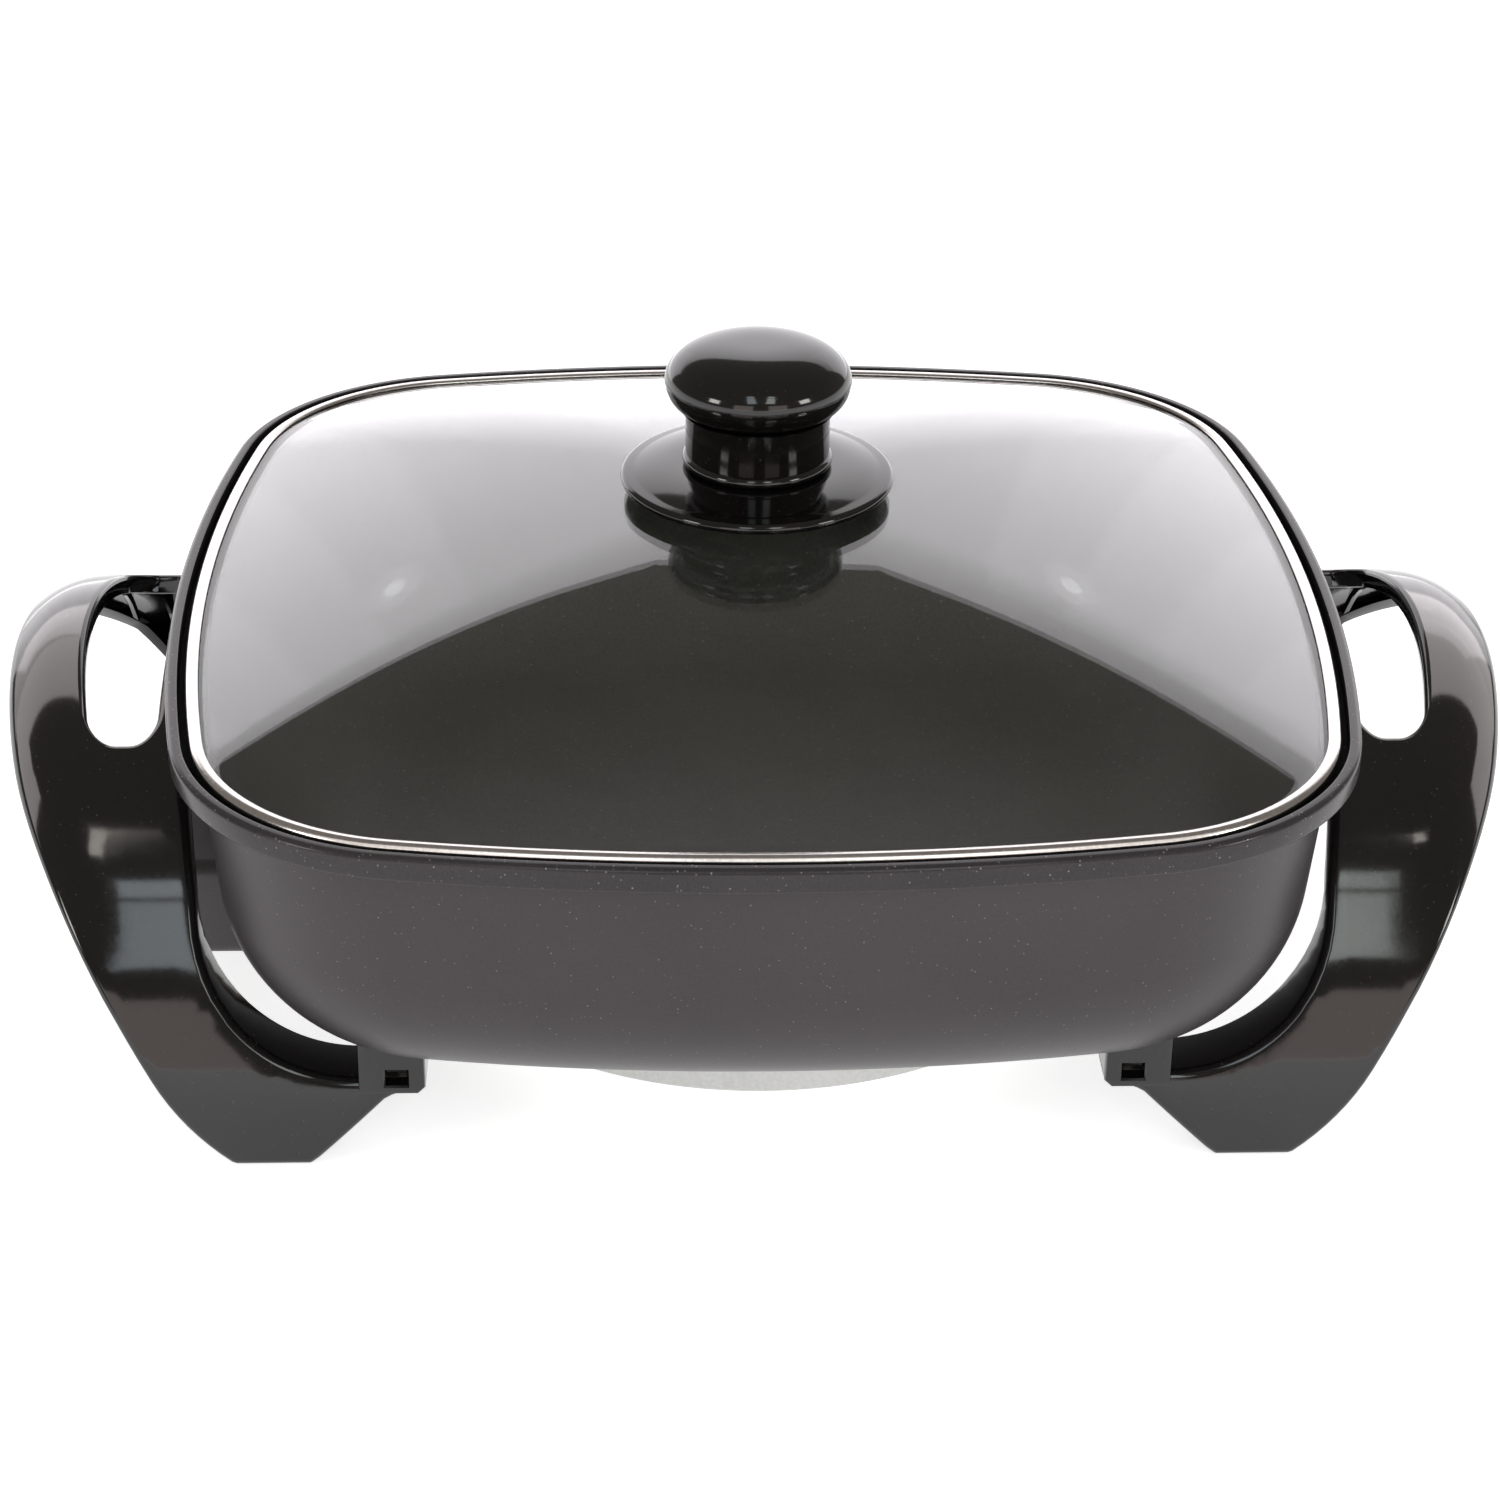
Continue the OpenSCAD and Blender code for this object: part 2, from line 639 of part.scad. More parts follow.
// Finger opening in plan, grown by g all round
module opening_outline(g) {
    xs = [open_x0 + open_r, open_x1 - open_r];
    y1 = open_l / 2 - open_r;
    r = open_r + g;
    translate([xs[0], -y1 - r]) square([xs[1] - xs[0], 2 * y1 + 2 * r]);
    translate([xs[0] - r, -y1]) square([xs[1] - xs[0] + 2 * r, 2 * y1]);
    for (x = xs) for (s = [-1, 1]) translate([x, s * y1]) circle(r);
}

// Outline, seen from the side, of the space behind the grip and between the legs, drawn in by g
module arch_space(g) {
    intersection() {
        circle(arch_r - grip_depth - g, $fn = 360);
        polygon([for (p = [[-1, -past], [1, -past], [1, rim_z], [-1, rim_z]])
            [p[0] * (back_y(p[1]) - g), p[1] - arch_z]]);
    }
}

// Bar that follows the arch from foot to foot, drawn in by g at its edges, and standing back
// further than the mouldings' back edges by deeper
module arch_bar(g, skin, deeper) {
    intersection() {
        translate([0, 0, arch_z]) rotate([90, 0, 90]) linear_extrude(grip_x + past) difference() {
            circle(arch_r - skin, $fn = 360);
            arch_space(deeper);
        }
        rotate([90, 0, 0]) linear_extrude(3 * arch_r, center = true) leg_outline(g);
        translate([grip_x - grip_bow_r, 0, 0]) cylinder(r = grip_bow_r - g, h = rim_z, $fn = 360);
    }
}

module opening_cut(g) {
    translate([0, 0, knee_z]) linear_extrude(rim_z) opening_outline(g);
}

// Stiffening ribs across the hollow of both legs, evenly spaced under the grip's width
module leg_ribs() {
    pitch = (open_x1 - open_x0 + 2 * open_r) / (rib_n + 1);
    intersection() {
        arch_bar(mould_t / 2, mould_t / 2, -rib_back);
        for (s = [0, 1]) mirror([0, s, 0]) for (i = [1:rib_n])
            translate([open_x0 - open_r + pitch * i - rib_t / 2, (open_l + mould_t) / 2, knee_z])
                cube([rib_t, foot_y, crest_z]);
    }
}

// Block that fills the space between the toe and the round of the pan's corner
module tab() {
    difference() {
        translate([toe_x, tab_front - tab_l, tab_z]) cube([tab_w, tab_l, tab_top_z - tab_z]);
        corner_bend(bend_r + free_gap);
        translate([tab_x - pocket_w / 2, tab_front - pocket_depth, tab_z + tab_t / 2])
            cube([pocket_w, pocket_depth + past, pocket_h]);
    }
}

// Room in a tab and its toe for the cast boss, the screw, and the washer in its counterbore
module tab_room() {
    translate([tab_x, tab_y, boss_z]) cylinder(d = boss_d + 2 * free_gap, h = bend_r);
    translate([tab_x, tab_y, tab_z - past]) cylinder(d = tab_screw_d + hole_play, h = tab_t + 2 * past);
    translate([tab_x, tab_y, 0]) cylinder(d = tab_washer_d + 2 * hole_play, h = tab_z);
}

module side_moulding() {
    difference() {
        union() {
            difference() {
                arch_bar(0, 0, 0);
                difference() {
                    arch_bar(mould_t, mould_t, past);
                    opening_cut(mould_t);
                }
                opening_cut(0);
            }
            leg_ribs();
            for (s = [0, 1]) mirror([0, s, 0]) tab();
        }
        for (s = [0, 1]) mirror([0, s, 0]) tab_room();
    }
}

module side_moulding_left() {
    color([0.07, 0.07, 0.07]) mirror([1, 0, 0]) side_moulding();
}

module side_moulding_right() {
    color([0.07, 0.07, 0.07]) side_moulding();
}

module tab_places(side) {
    for (sy = [-1, 1]) translate([side * tab_x, sy * tab_y, tab_z]) children();
}

module tab_washers(side) {
    color([0.75, 0.75, 0.75]) tab_places(side) translate([0, 0, -tab_washer_t])
        washer(tab_washer_d, tab_screw_d + hole_play, tab_washer_t);
}

module tab_screws(side) {
    color([0.7, 0.7, 0.7]) tab_places(side) translate([0, 0, -tab_washer_t])
        screw_up(tab_screw_d, tab_screw_len);
}

module tab_washers_left() {
    tab_washers(-1);
}

module tab_washers_right() {
    tab_washers(1);
}

module tab_screws_left() {
    tab_screws(-1);
}

module tab_screws_right() {
    tab_screws(1);
}

// ---------------------------------------------------------------- lid

// Rolled steel ring: a C that closes round the edge of the glass, open towards the middle
ring_section = concat(
    [[ring_in_d, ring_z]],
    section_arc([ring_out_d - ring_round_r, ring_z + ring_round_r], ring_round_r, -90, 0, 3),
    section_arc([ring_out_d - ring_round_r, ring_z + ring_h - ring_round_r], ring_round_r, 0, 90, 3),
    [[ring_in_d, ring_z + ring_h], [ring_in_d, ring_z + ring_h - ring_t],
     [ring_out_d - ring_t, ring_z + ring_h - ring_t], [ring_out_d - ring_t, ring_z + ring_t],
     [ring_in_d, ring_z + ring_t]]);

module lid_ring() {
    color([0.82, 0.81, 0.79]) loft(ring_section, true);
}

// Height of the dome over its flat border, t being 0 in the middle and 1 at the border
function dome(t) = dome_h * (1 - t * t);

// Ring k of the glass's top face: rings 0 to dome_n climb down the dome from the hole to the
// border, and the last ring is the edge
function glass_ring(k) = k > dome_n
    ? [for (p = plan_outline(glass_d)) [p[0], p[1], glass_z + glass_t]]
    : [for (p = plan_outline(border_d)) let (e = norm(p), r = hole_r + (e - hole_r) * k / dome_n)
        [p[0] * r / e, p[1] * r / e, glass_z + glass_t + dome(r / e)]];

module lid_glass() {
    n = plan_n;
    m = dome_n + 1;
    top = [for (k = [0:m]) each glass_ring(k)];
    low = [for (p = top) p - [0, 0, glass_t]];
    count = len(top);
    function quad(a, b, c, d) = [[a, b, c], [a, c, d]];
    skin = [for (k = [0:m - 1]) for (i = [0:n - 1]) let (j = (i + 1) % n)
        each quad(k * n + i, k * n + j, (k + 1) * n + j, (k + 1) * n + i)];
    under = [for (f = skin) [for (v = [2, 1, 0]) f[v] + count]];
    edge = [for (i = [0:n - 1]) let (j = (i + 1) % n)
        each quad(m * n + i, m * n + j, m * n + j + count, m * n + i + count)];
    bore = [for (i = [0:n - 1]) let (j = (i + 1) % n) each quad(j, i, i + count, j + count)];
    color([0.75, 0.8, 0.8, 0.4]) polyhedron(concat(top, low), concat(skin, under, edge, bore));
}

module knob_seal() {
    color([0.2, 0.2, 0.2]) translate([0, 0, seal_z])
        washer(knob_washer_d, knob_screw_d + hole_play, knob_washer_t);
}

module glass_washer() {
    color([0.25, 0.25, 0.25]) translate([0, 0, washer_z - knob_washer_t])
        washer(knob_washer_d, knob_screw_d + hole_play, knob_washer_t);
}

module screw_washer() {
    color([0.78, 0.78, 0.78]) translate([0, 0, screw_z])
        washer(knob_washer_d * 0.9, knob_screw_d + hole_play, knob_washer_t);
}

module knob_screw() {
    color([0.75, 0.75, 0.75]) translate([0, 0, screw_z])
        screw_up(knob_screw_d, knob_screw_len);
}

// Broad disc that keeps the fingers off the glass, with the hub that carries the knob
module knob_skirt() {
    rim_r = (skirt_d - skirt_t) / 2;
    slope = skirt_h / 5;
    color([0.08, 0.08, 0.08]) translate([0, 0, skirt_z]) difference() {
        rotate_extrude() {
            square([rim_r, skirt_t]);
            translate([rim_r, skirt_t / 2]) circle(d = skirt_t);
            polygon([[0, 0], [rim_r, skirt_t], [hub_d / 2 + 2 * slope, skirt_t + slope],
                     [hub_d / 2, skirt_t + 2 * slope], [hub_d / 2, skirt_h], [0, skirt_h]]);
        }
        translate([0, 0, -past]) cylinder(d = knob_screw_d + hole_play, h = skirt_h + 2 * past);
    }
}

// Cap with a low crown and a full round edge, on a neck that ends in a bead
module knob() {
    edge_r = cap_h * 0.42;
    edge_c = [knob_d / 2 - edge_r, knob_h - cap_h + edge_r];
    rise = cap_h - edge_r;
    crown_r = (pow(edge_c[0], 2) + rise * rise - edge_r * edge_r) / (2 * (rise - edge_r));
    crown_c = [0, knob_h - crown_r];
    meet = crown_c + (edge_c - crown_c) * crown_r / (crown_r - edge_r);
    color([0.08, 0.08, 0.08]) translate([0, 0, hub_z]) difference() {
        rotate_extrude() {
            square([neck_d / 2, edge_c[1]]);
            translate([(neck_d - bead_r) / 2, bead_r]) circle(bead_r);
            translate(edge_c) circle(edge_r);
            translate([0, knob_h - cap_h]) square([edge_c[0], edge_r]);
            intersection() {
                translate(crown_c) circle(crown_r, $fn = 360);
                polygon([[0, edge_c[1]], edge_c, meet, [meet[0], knob_h + past], [0, knob_h + past]]);
            }
        }
        translate([0, 0, -past]) cylinder(d = insert_d, h = insert_h + past);
    }
}

module knob_insert() {
    color([0.8, 0.65, 0.3]) translate([0, 0, hub_z]) washer(insert_d, knob_screw_d, insert_h);
}

pan();
heating_element();
reflector();
reflector_screws();
reflector_washers();
terminal_plate();
terminal_pin_front();
terminal_pin_rear();
terminal_bush_front();
terminal_bush_rear();
sensor_tube();
inlet_guard();
guard_screws();
side_moulding_left();
side_moulding_right();
tab_screws_left();
tab_screws_right();
tab_washers_left();
tab_washers_right();
lid_glass();
lid_ring();
knob_seal();
knob_skirt();
knob();
knob_insert();
glass_washer();
screw_washer();
knob_screw();
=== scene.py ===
"""Looks of an electric skillet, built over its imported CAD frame.

Every length in this file is in millimetres until a mesh is made, in the frame of the CAD part:
+Z up, worktop at z = 0, pan centred on the origin, heat-control inlet towards -X.
"""
import logging
import math
from dataclasses import dataclass, field
from enum import Enum
from typing import NamedTuple

import bmesh
import bpy
from mathutils import Matrix, Quaternion, Vector
from mathutils.geometry import delaunay_2d_cdt


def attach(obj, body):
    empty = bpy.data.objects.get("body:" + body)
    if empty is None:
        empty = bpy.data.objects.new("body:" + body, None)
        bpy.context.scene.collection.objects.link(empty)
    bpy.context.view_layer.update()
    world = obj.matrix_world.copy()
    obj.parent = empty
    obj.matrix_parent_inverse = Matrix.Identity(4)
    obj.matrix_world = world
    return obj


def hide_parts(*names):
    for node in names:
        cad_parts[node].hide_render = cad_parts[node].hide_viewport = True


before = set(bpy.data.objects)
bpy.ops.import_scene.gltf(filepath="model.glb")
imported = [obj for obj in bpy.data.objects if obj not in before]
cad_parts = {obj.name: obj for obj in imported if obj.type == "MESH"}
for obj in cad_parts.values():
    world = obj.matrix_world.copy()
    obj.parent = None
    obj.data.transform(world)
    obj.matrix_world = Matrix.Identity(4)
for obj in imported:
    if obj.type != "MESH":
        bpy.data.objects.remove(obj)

LOG = logging.getLogger("skillet")
MM = 0.001
Point = tuple[float, float, float]
Flat = tuple[float, float]
Colour = tuple[float, float, float, float]
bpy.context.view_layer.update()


class Body(Enum):
    """Moving bodies of the skillet."""

    SKILLET = "skillet"
    LID = "lid"


class Side(Enum):
    """Sides of the skillet, with the sign of their x."""

    LEFT = -1
    RIGHT = 1


# ---------------------------------------------------------------- node and colour helpers


def linear(code: str) -> Colour:
    """Turns an sRGB hex colour into linear values.

    Args:
        code: colour such as "#8a8788".

    Returns:
        Linear red, green and blue, with an alpha of 1.
    """
    parts = [int(code[k:k + 2], 16) / 255 for k in (1, 3, 5)]
    red, green, blue = [c / 12.92 if c <= 0.04045 else ((c + 0.055) / 1.055) ** 2.4 for c in parts]
    return red, green, blue, 1.0


def add_node(tree: bpy.types.NodeTree, kind: str, values: dict | None = None,
             links: dict | None = None, stops: tuple[tuple[float, Colour], ...] = (),
             **settings: object) -> bpy.types.Node:
    """Adds a node to a tree, with its settings, its input values and its links.

    Args:
        tree: node tree of a material or a world.
        kind: Blender's name for the type of node.
        values: input name or number to the value it holds.
        links: input name or number to the output socket that feeds it.
        stops: places from 0 to 1 and colours of a ramp's two stops, where the node has a ramp.
        settings: attributes of the node.

    Returns:
        The new node.
    """
    node = tree.nodes.new(kind)
    for key, value in settings.items():
        setattr(node, key, value)
    for key, value in (values or {}).items():
        node.inputs[key].default_value = value
    for key, socket in (links or {}).items():
        tree.links.new(socket, node.inputs[key])
    for number, (place, colour) in enumerate(stops):
        node.color_ramp.elements[number].position = place
        node.color_ramp.elements[number].color = colour
    return node


def per_mm(size: float) -> float:
    """Texture scale at which one feature of a pattern measures the given millimetres."""
    return 1.0 / (size * MM)


def grey(value: float) -> Colour:
    """A neutral colour of the given linear value."""
    return value, value, value, 1.0


# ---------------------------------------------------------------- finishes


@dataclass(frozen=True)
class Finish:
    """Surface finish: one material, with a fine pattern in its colour, its gloss and its relief."""

    name: str
    light: str  # colour where the pattern is light, and where it is dark
    dark: str
    rough: tuple[float, float]  # roughness from the dark places to the light ones
    metal: float = 0.0
    ior: float = 1.5
    grain: float = 1.0  # size in mm of the fine grain, and of the broad clouds under it
    cloud: float = 40.0
    relief: float = 0.02  # height of the grain in mm
    fleck: float = 0.5  # share of the grain in the pattern, the rest being clouds

    def material(self) -> bpy.types.Material:
        """Builds the material.

        Returns:
            A material whose colour, roughness and bump follow the finish's real grain.
        """
        mat = bpy.data.materials.new(self.name)
        mat.use_nodes = True
        tree = mat.node_tree
        shader = tree.nodes["Principled BSDF"]
        shader.inputs["Metallic"].default_value = self.metal
        if self.metal < 0.5:
            shader.inputs["IOR"].default_value = self.ior
        self.dress(tree, shader)
        mat.diffuse_color = linear(self.light)
        mat.metallic = self.metal
        mat.roughness = self.rough[0]
        return mat

    def dress(self, tree: bpy.types.NodeTree, shader: bpy.types.Node) -> None:
        """Adds the colour, gloss and relief patterns.

        Args:
            tree: node tree of the material.
            shader: its surface shader.
        """
        at = add_node(tree, "ShaderNodeTexCoord").outputs["Object"]
        fine = add_node(tree, "ShaderNodeTexNoise", {"Scale": per_mm(self.grain), "Detail": 3.0},
                        {"Vector": at})
        broad = add_node(tree, "ShaderNodeTexNoise", {"Scale": per_mm(self.cloud), "Detail": 4.0},
                         {"Vector": at})
        both = add_node(tree, "ShaderNodeMix", {0: self.fleck},
                        {2: broad.outputs["Fac"], 3: fine.outputs["Fac"]})
        tone = add_node(tree, "ShaderNodeValToRGB", links={0: both.outputs[0]},
                        stops=((0.36, linear(self.dark)), (0.64, linear(self.light))))
        gloss = add_node(tree, "ShaderNodeMapRange",
                         {"From Min": 0.3, "From Max": 0.7, "To Min": self.rough[0],
                          "To Max": self.rough[1]}, {"Value": both.outputs[0]})
        bump = add_node(tree, "ShaderNodeBump", {"Strength": 0.5, "Distance": self.relief * MM},
                        {"Height": fine.outputs["Fac"]})
        tree.links.new(tone.outputs["Color"], shader.inputs["Base Color"])
        tree.links.new(gloss.outputs["Result"], shader.inputs["Roughness"])
        tree.links.new(bump.outputs["Normal"], shader.inputs["Normal"])


@dataclass(frozen=True)
class ToughenedGlass(Finish):
    """Clear toughened float glass, press-bent: smooth, with a breath of unevenness from the press."""

    def dress(self, tree: bpy.types.NodeTree, shader: bpy.types.Node) -> None:
        """Makes the shader clear and adds the long shallow waves of bent glass.

        Args:
            tree: node tree of the material.
            shader: its surface shader.
        """
        at = add_node(tree, "ShaderNodeTexCoord").outputs["Object"]
        waves = add_node(tree, "ShaderNodeTexNoise", {"Scale": per_mm(self.cloud), "Detail": 1.0},
                         {"Vector": at})
        tint = add_node(tree, "ShaderNodeValToRGB", links={0: waves.outputs["Fac"]},
                        stops=((0.0, linear(self.dark)), (1.0, linear(self.light))))
        bump = add_node(tree, "ShaderNodeBump", {"Strength": 0.3, "Distance": self.relief * MM},
                        {"Height": waves.outputs["Fac"]})
        shader.inputs["Transmission Weight"].default_value = 1.0
        shader.inputs["Roughness"].default_value = self.rough[0]
        tree.links.new(tint.outputs["Color"], shader.inputs["Base Color"])
        tree.links.new(bump.outputs["Normal"], shader.inputs["Normal"])


@dataclass(frozen=True)
class SpeckledCoat(Finish):
    """Sprayed and stoved coat with fine flecks in it, over a faint orange peel."""

    spark: str = "#c8c4c2"
    spark_size: float = 1.1  # distance in mm between places where a fleck may lie
    spark_share: float = 0.12  # share of those places that hold one

    def dress(self, tree: bpy.types.NodeTree, shader: bpy.types.Node) -> None:
        """Adds the flecks to the patterns of the plain coat.

        Args:
            tree: node tree of the material.
            shader: its surface shader.
        """
        Finish.dress(self, tree, shader)
        base = shader.inputs["Base Color"].links[0].from_socket
        at = add_node(tree, "ShaderNodeTexCoord").outputs["Object"]
        cells = add_node(tree, "ShaderNodeTexVoronoi", {"Scale": per_mm(self.spark_size)},
                         {"Vector": at})
        pick = add_node(tree, "ShaderNodeSeparateColor", links={0: cells.outputs["Color"]})
        chosen = add_node(tree, "ShaderNodeMapRange",
                          {"From Min": 1 - self.spark_share, "From Max": 1.0, "To Max": 0.8},
                          {"Value": pick.outputs[0]})
        near = add_node(tree, "ShaderNodeMapRange",
                        {"From Min": 0.15, "From Max": 0.32, "To Min": 1.0, "To Max": 0.0},
                        {"Value": cells.outputs["Distance"]})
        both = add_node(tree, "ShaderNodeMath", links={0: chosen.outputs[0], 1: near.outputs[0]},
                        operation="MULTIPLY")
        flecked = add_node(tree, "ShaderNodeMix", {7: linear(self.spark)},
                           {0: both.outputs[0], 6: base}, data_type="RGBA")
        tree.links.new(flecked.outputs[2], shader.inputs["Base Color"])


# Die-cast aluminium with a sprayed outer coat: warm dark grey, satin, a little metallic
OUTER_COAT = SpeckledCoat("die_cast_aluminium_sprayed_coat", "#474245", "#3d393b", (0.34, 0.44),
                          metal=0.35, grain=0.7, cloud=60.0, relief=0.012, fleck=0.45,
                          spark="#8f8a8b", spark_size=0.8, spark_share=0.06)
# The same coat where it runs over the rim: really glossier, and darker as painted shade for the
# dark room that its top mirrors, with the mineral flecks of the inside carried over it
RIM_COAT = SpeckledCoat("die_cast_aluminium_sprayed_rim", "#423e40", "#363335", (0.18, 0.28),
                        metal=0.15, ior=1.38, grain=0.7, cloud=45.0, relief=0.010, fleck=0.45,
                        spark="#a9a3a0", spark_size=0.9, spark_share=0.16)
# And on the ledge under the lid's ring: painted shade for its narrow gap, matt and nearly black
LEDGE_PAINTED_SHADE = SpeckledCoat("ledge_painted_shade", "#1d1b1b", "#131212", (0.7, 0.85),
                          ior=1.2, grain=0.7, cloud=45.0, relief=0.010, spark="#5a5653",
                          spark_size=0.9, spark_share=0.05)
# Sintered non-stick coat on the cooking surface: olive black with pale mineral flecks
NONSTICK = SpeckledCoat("aluminium_nonstick_sprayed", "#64665c", "#515349", (0.42, 0.55),
                        grain=0.8, cloud=50.0, relief=0.015, spark="#9a9a8c", spark_share=0.08,
                        spark_size=1.3)
# Compression-moulded phenolic from a polished tool: deep gloss black that mirrors the lamps, with
# a faint orange peel and a fleck of filler here and there
GLOSS_PHENOLIC = SpeckledCoat("phenolic_moulded_gloss", "#100e0d", "#0a0909", (0.06, 0.12),
                              ior=1.6, grain=0.9, cloud=30.0, relief=0.003, spark="#4c4744",
                              spark_size=0.8, spark_share=0.07)
# The same resin from an etched tool, round the inlet: even satin black
SATIN_PHENOLIC = Finish("phenolic_moulded_satin", "#4a4747", "#3d3a3a", (0.38, 0.5), ior=1.6,
                        grain=0.6, cloud=25.0, relief=0.02)
# Press-bent soda-lime glass, toughened: clear, its mirror images bent a little by long low waves
GLASS = ToughenedGlass("glass_toughened_bent", "#fbfbfc", "#f5f6f7", (0.0, 0.0), ior=1.52,
                       cloud=70.0, relief=0.02)
# Roll-formed stainless strip, polished: bright and warm, with soft edges to what it mirrors
ROLLED_STEEL = Finish("stainless_steel_roll_formed", "#dcd8d5", "#cbc6c3", (0.16, 0.24), metal=1.0,
                      grain=0.9, cloud=30.0, relief=0.004)
# Nickel-iron sheath of the heater, oxidised when it was annealed: dull brown-grey metal in clouds
SHEATH = Finish("nickel_iron_sheath_oxidised", "#7c746a", "#5c554e", (0.34, 0.5), metal=1.0,
                grain=1.5, cloud=22.0, relief=0.01)
# Spun aluminium sheet: pale and softly bright; its turned lines are too fine to show, so soft
# clouds in its shine stand for them
SPUN_SHEET = Finish("aluminium_sheet_spun", "#d2d2d0", "#c0c0be", (0.3, 0.42), metal=0.85,
                    grain=1.2, cloud=35.0, relief=0.008)
# Cold-headed steel, bright zinc plated: bluish white metal with a light grain
ZINC = Finish("steel_zinc_plated", "#c9ccd0", "#b3b6ba", (0.24, 0.36), metal=1.0, grain=0.6,
              cloud=8.0, relief=0.01)
# Turned steel, nickel plated: warm bright metal
NICKEL = Finish("steel_nickel_plated", "#cbc6bd", "#b8b3aa", (0.18, 0.28), metal=1.0, grain=0.5,
                cloud=8.0, relief=0.006)
# Pressed and fired steatite, unglazed: ivory, dry, with a fine grain
STEATITE = Finish("steatite_fired_unglazed", "#e6dfce", "#d8d0bd", (0.55, 0.7), grain=0.5,
                  cloud=6.0, relief=0.02)
# Die-cut silicone sheet: dull black with a talc bloom
RUBBER = Finish("silicone_sheet_cut", "#2a2a2b", "#202021", (0.55, 0.7), ior=1.41, grain=0.5,
                cloud=6.0, relief=0.02)
# Turned brass bar: yellow metal with fine turning marks
BRASS = Finish("brass_turned", "#d8b35c", "#c49f4b", (0.2, 0.32), metal=1.0, grain=0.5, cloud=6.0,
               relief=0.008)


# ---------------------------------------------------------------- mesh helpers


class Sketch:
    """Points and faces in millimetres that become one mesh."""

    def __init__(self) -> None:
        """Starts with no points."""
        self.points: list[Point] = []
        self.faces: list[tuple[int, ...]] = []

    def ring(self, points: list[Point]) -> list[int]:
        """Adds points.

        Args:
            points: the points in order.

        Returns:
            Their numbers.
        """
        start = len(self.points)
        self.points.extend(points)
        return list(range(start, start + len(points)))

    def bridge(self, low: list[int], high: list[int]) -> None:
        """Joins two closed rings of the same length with four-sided faces.

        Args:
            low: numbers of the first ring.
            high: numbers of the second ring.
        """
        count = len(low)
        for k in range(count):
            j = (k + 1) % count
            self.faces.append((low[k], low[j], high[j], high[k]))

    def loft(self, rings: list[list[Point]], closed: bool = False) -> None:
        """Joins rings in order.

        Args:
            rings: rings of the same length.
            closed: whether the last ring joins to the first. If not, a face closes each end.
        """
        made = [self.ring(r) for r in rings]
        for low, high in zip(made, made[1:]):
            self.bridge(low, high)
        if closed:
            self.bridge(made[-1], made[0])
        else:
            self.faces.append(tuple(reversed(made[0])))
            self.faces.append(tuple(made[-1]))

    def lathe(self, section: list[Flat], steps: int = 96, at: Flat = (0.0, 0.0)) -> None:
        """Turns an open section of (radius, z) points about a vertical axis.

        Args:
            section: points from one end of the axis to the other.
            steps: number of flats.
            at: x and y of the axis.
        """
        rings = []
        for radius, z in section:
            r = max(radius, 0.01)
            rings.append([(at[0] + r * math.cos(math.tau * k / steps),
                           at[1] + r * math.sin(math.tau * k / steps), z) for k in range(steps)])
        self.loft(rings)

    def make(self, name: str, sharp: float = 32.0) -> bpy.types.Object:
        """Makes the object, smooth but for its sharp edges.

        Args:
            name: name of the object.
            sharp: angle in degrees from which an edge stays sharp.

        Returns:
            The object, linked to the scene, its coordinates in metres.
        """
        mesh = bpy.data.meshes.new(name)
        mesh.from_pydata([(x * MM, y * MM, z * MM) for x, y, z in self.points], [], self.faces)
        body = bmesh.new()
        body.from_mesh(mesh)
        bmesh.ops.remove_doubles(body, verts=body.verts, dist=1e-7)
        bmesh.ops.recalc_face_normals(body, faces=body.faces)
        body.to_mesh(mesh)
        body.free()
        obj = bpy.data.objects.new(name, mesh)
        bpy.context.scene.collection.objects.link(obj)
        smooth(obj, sharp)
        return obj


def smooth(obj: bpy.types.Object, sharp: float) -> None:
    """Shades a mesh smooth, but for its sharp edges.

    Args:
        obj: the object.
        sharp: angle in degrees from which an edge stays sharp.
    """
    obj.data.polygons.foreach_set("use_smooth", [True] * len(obj.data.polygons))
    obj.data.set_sharp_from_angle(angle=math.radians(sharp))
    obj.data.update()


def cut(obj: bpy.types.Object, tools: list[bpy.types.Object], sharp: float = 32.0) -> None:
    """Takes cutting solids out of an object and removes them.

    Args:
        obj: object that is cut.
        tools: closed solids to take away.
        sharp: angle in degrees from which an edge stays sharp.
    """
    for tool in tools:
        change = obj.modifiers.new("cut", "BOOLEAN")
        change.operation = "DIFFERENCE"
        change.solver = "EXACT"
        change.object = tool
    graph = bpy.context.evaluated_depsgraph_get()
    fresh = bpy.data.meshes.new_from_object(obj.evaluated_get(graph))
    obj.modifiers.clear()
    old = obj.data
    obj.data = fresh
    bpy.data.meshes.remove(old)
    for tool in tools:
        bpy.data.objects.remove(tool)
    smooth(obj, sharp)


def inside(point: Vector, ring: list[Vector]) -> bool:
    """Tells whether a flat point lies inside a closed ring.

    Args:
        point: the point.
        ring: points of the ring.

    Returns:
        True inside.
    """
    hit = False
    for k, a in enumerate(ring):
        b = ring[k - 1]
        if (a.y > point.y) != (b.y > point.y):
            if point.x < (b.x - a.x) * (point.y - a.y) / (b.y - a.y) + a.x:
                hit = not hit
    return hit


def join(obj: bpy.types.Object, other: bpy.types.Object) -> None:
    """Moves another object's mesh into an object.

    Args:
        obj: object that takes the mesh in.
        other: object that gives its mesh and is removed.
    """
    body = bmesh.new()
    body.from_mesh(obj.data)
    body.from_mesh(other.data)
    body.to_mesh(obj.data)
    body.free()
    bpy.data.objects.remove(other)


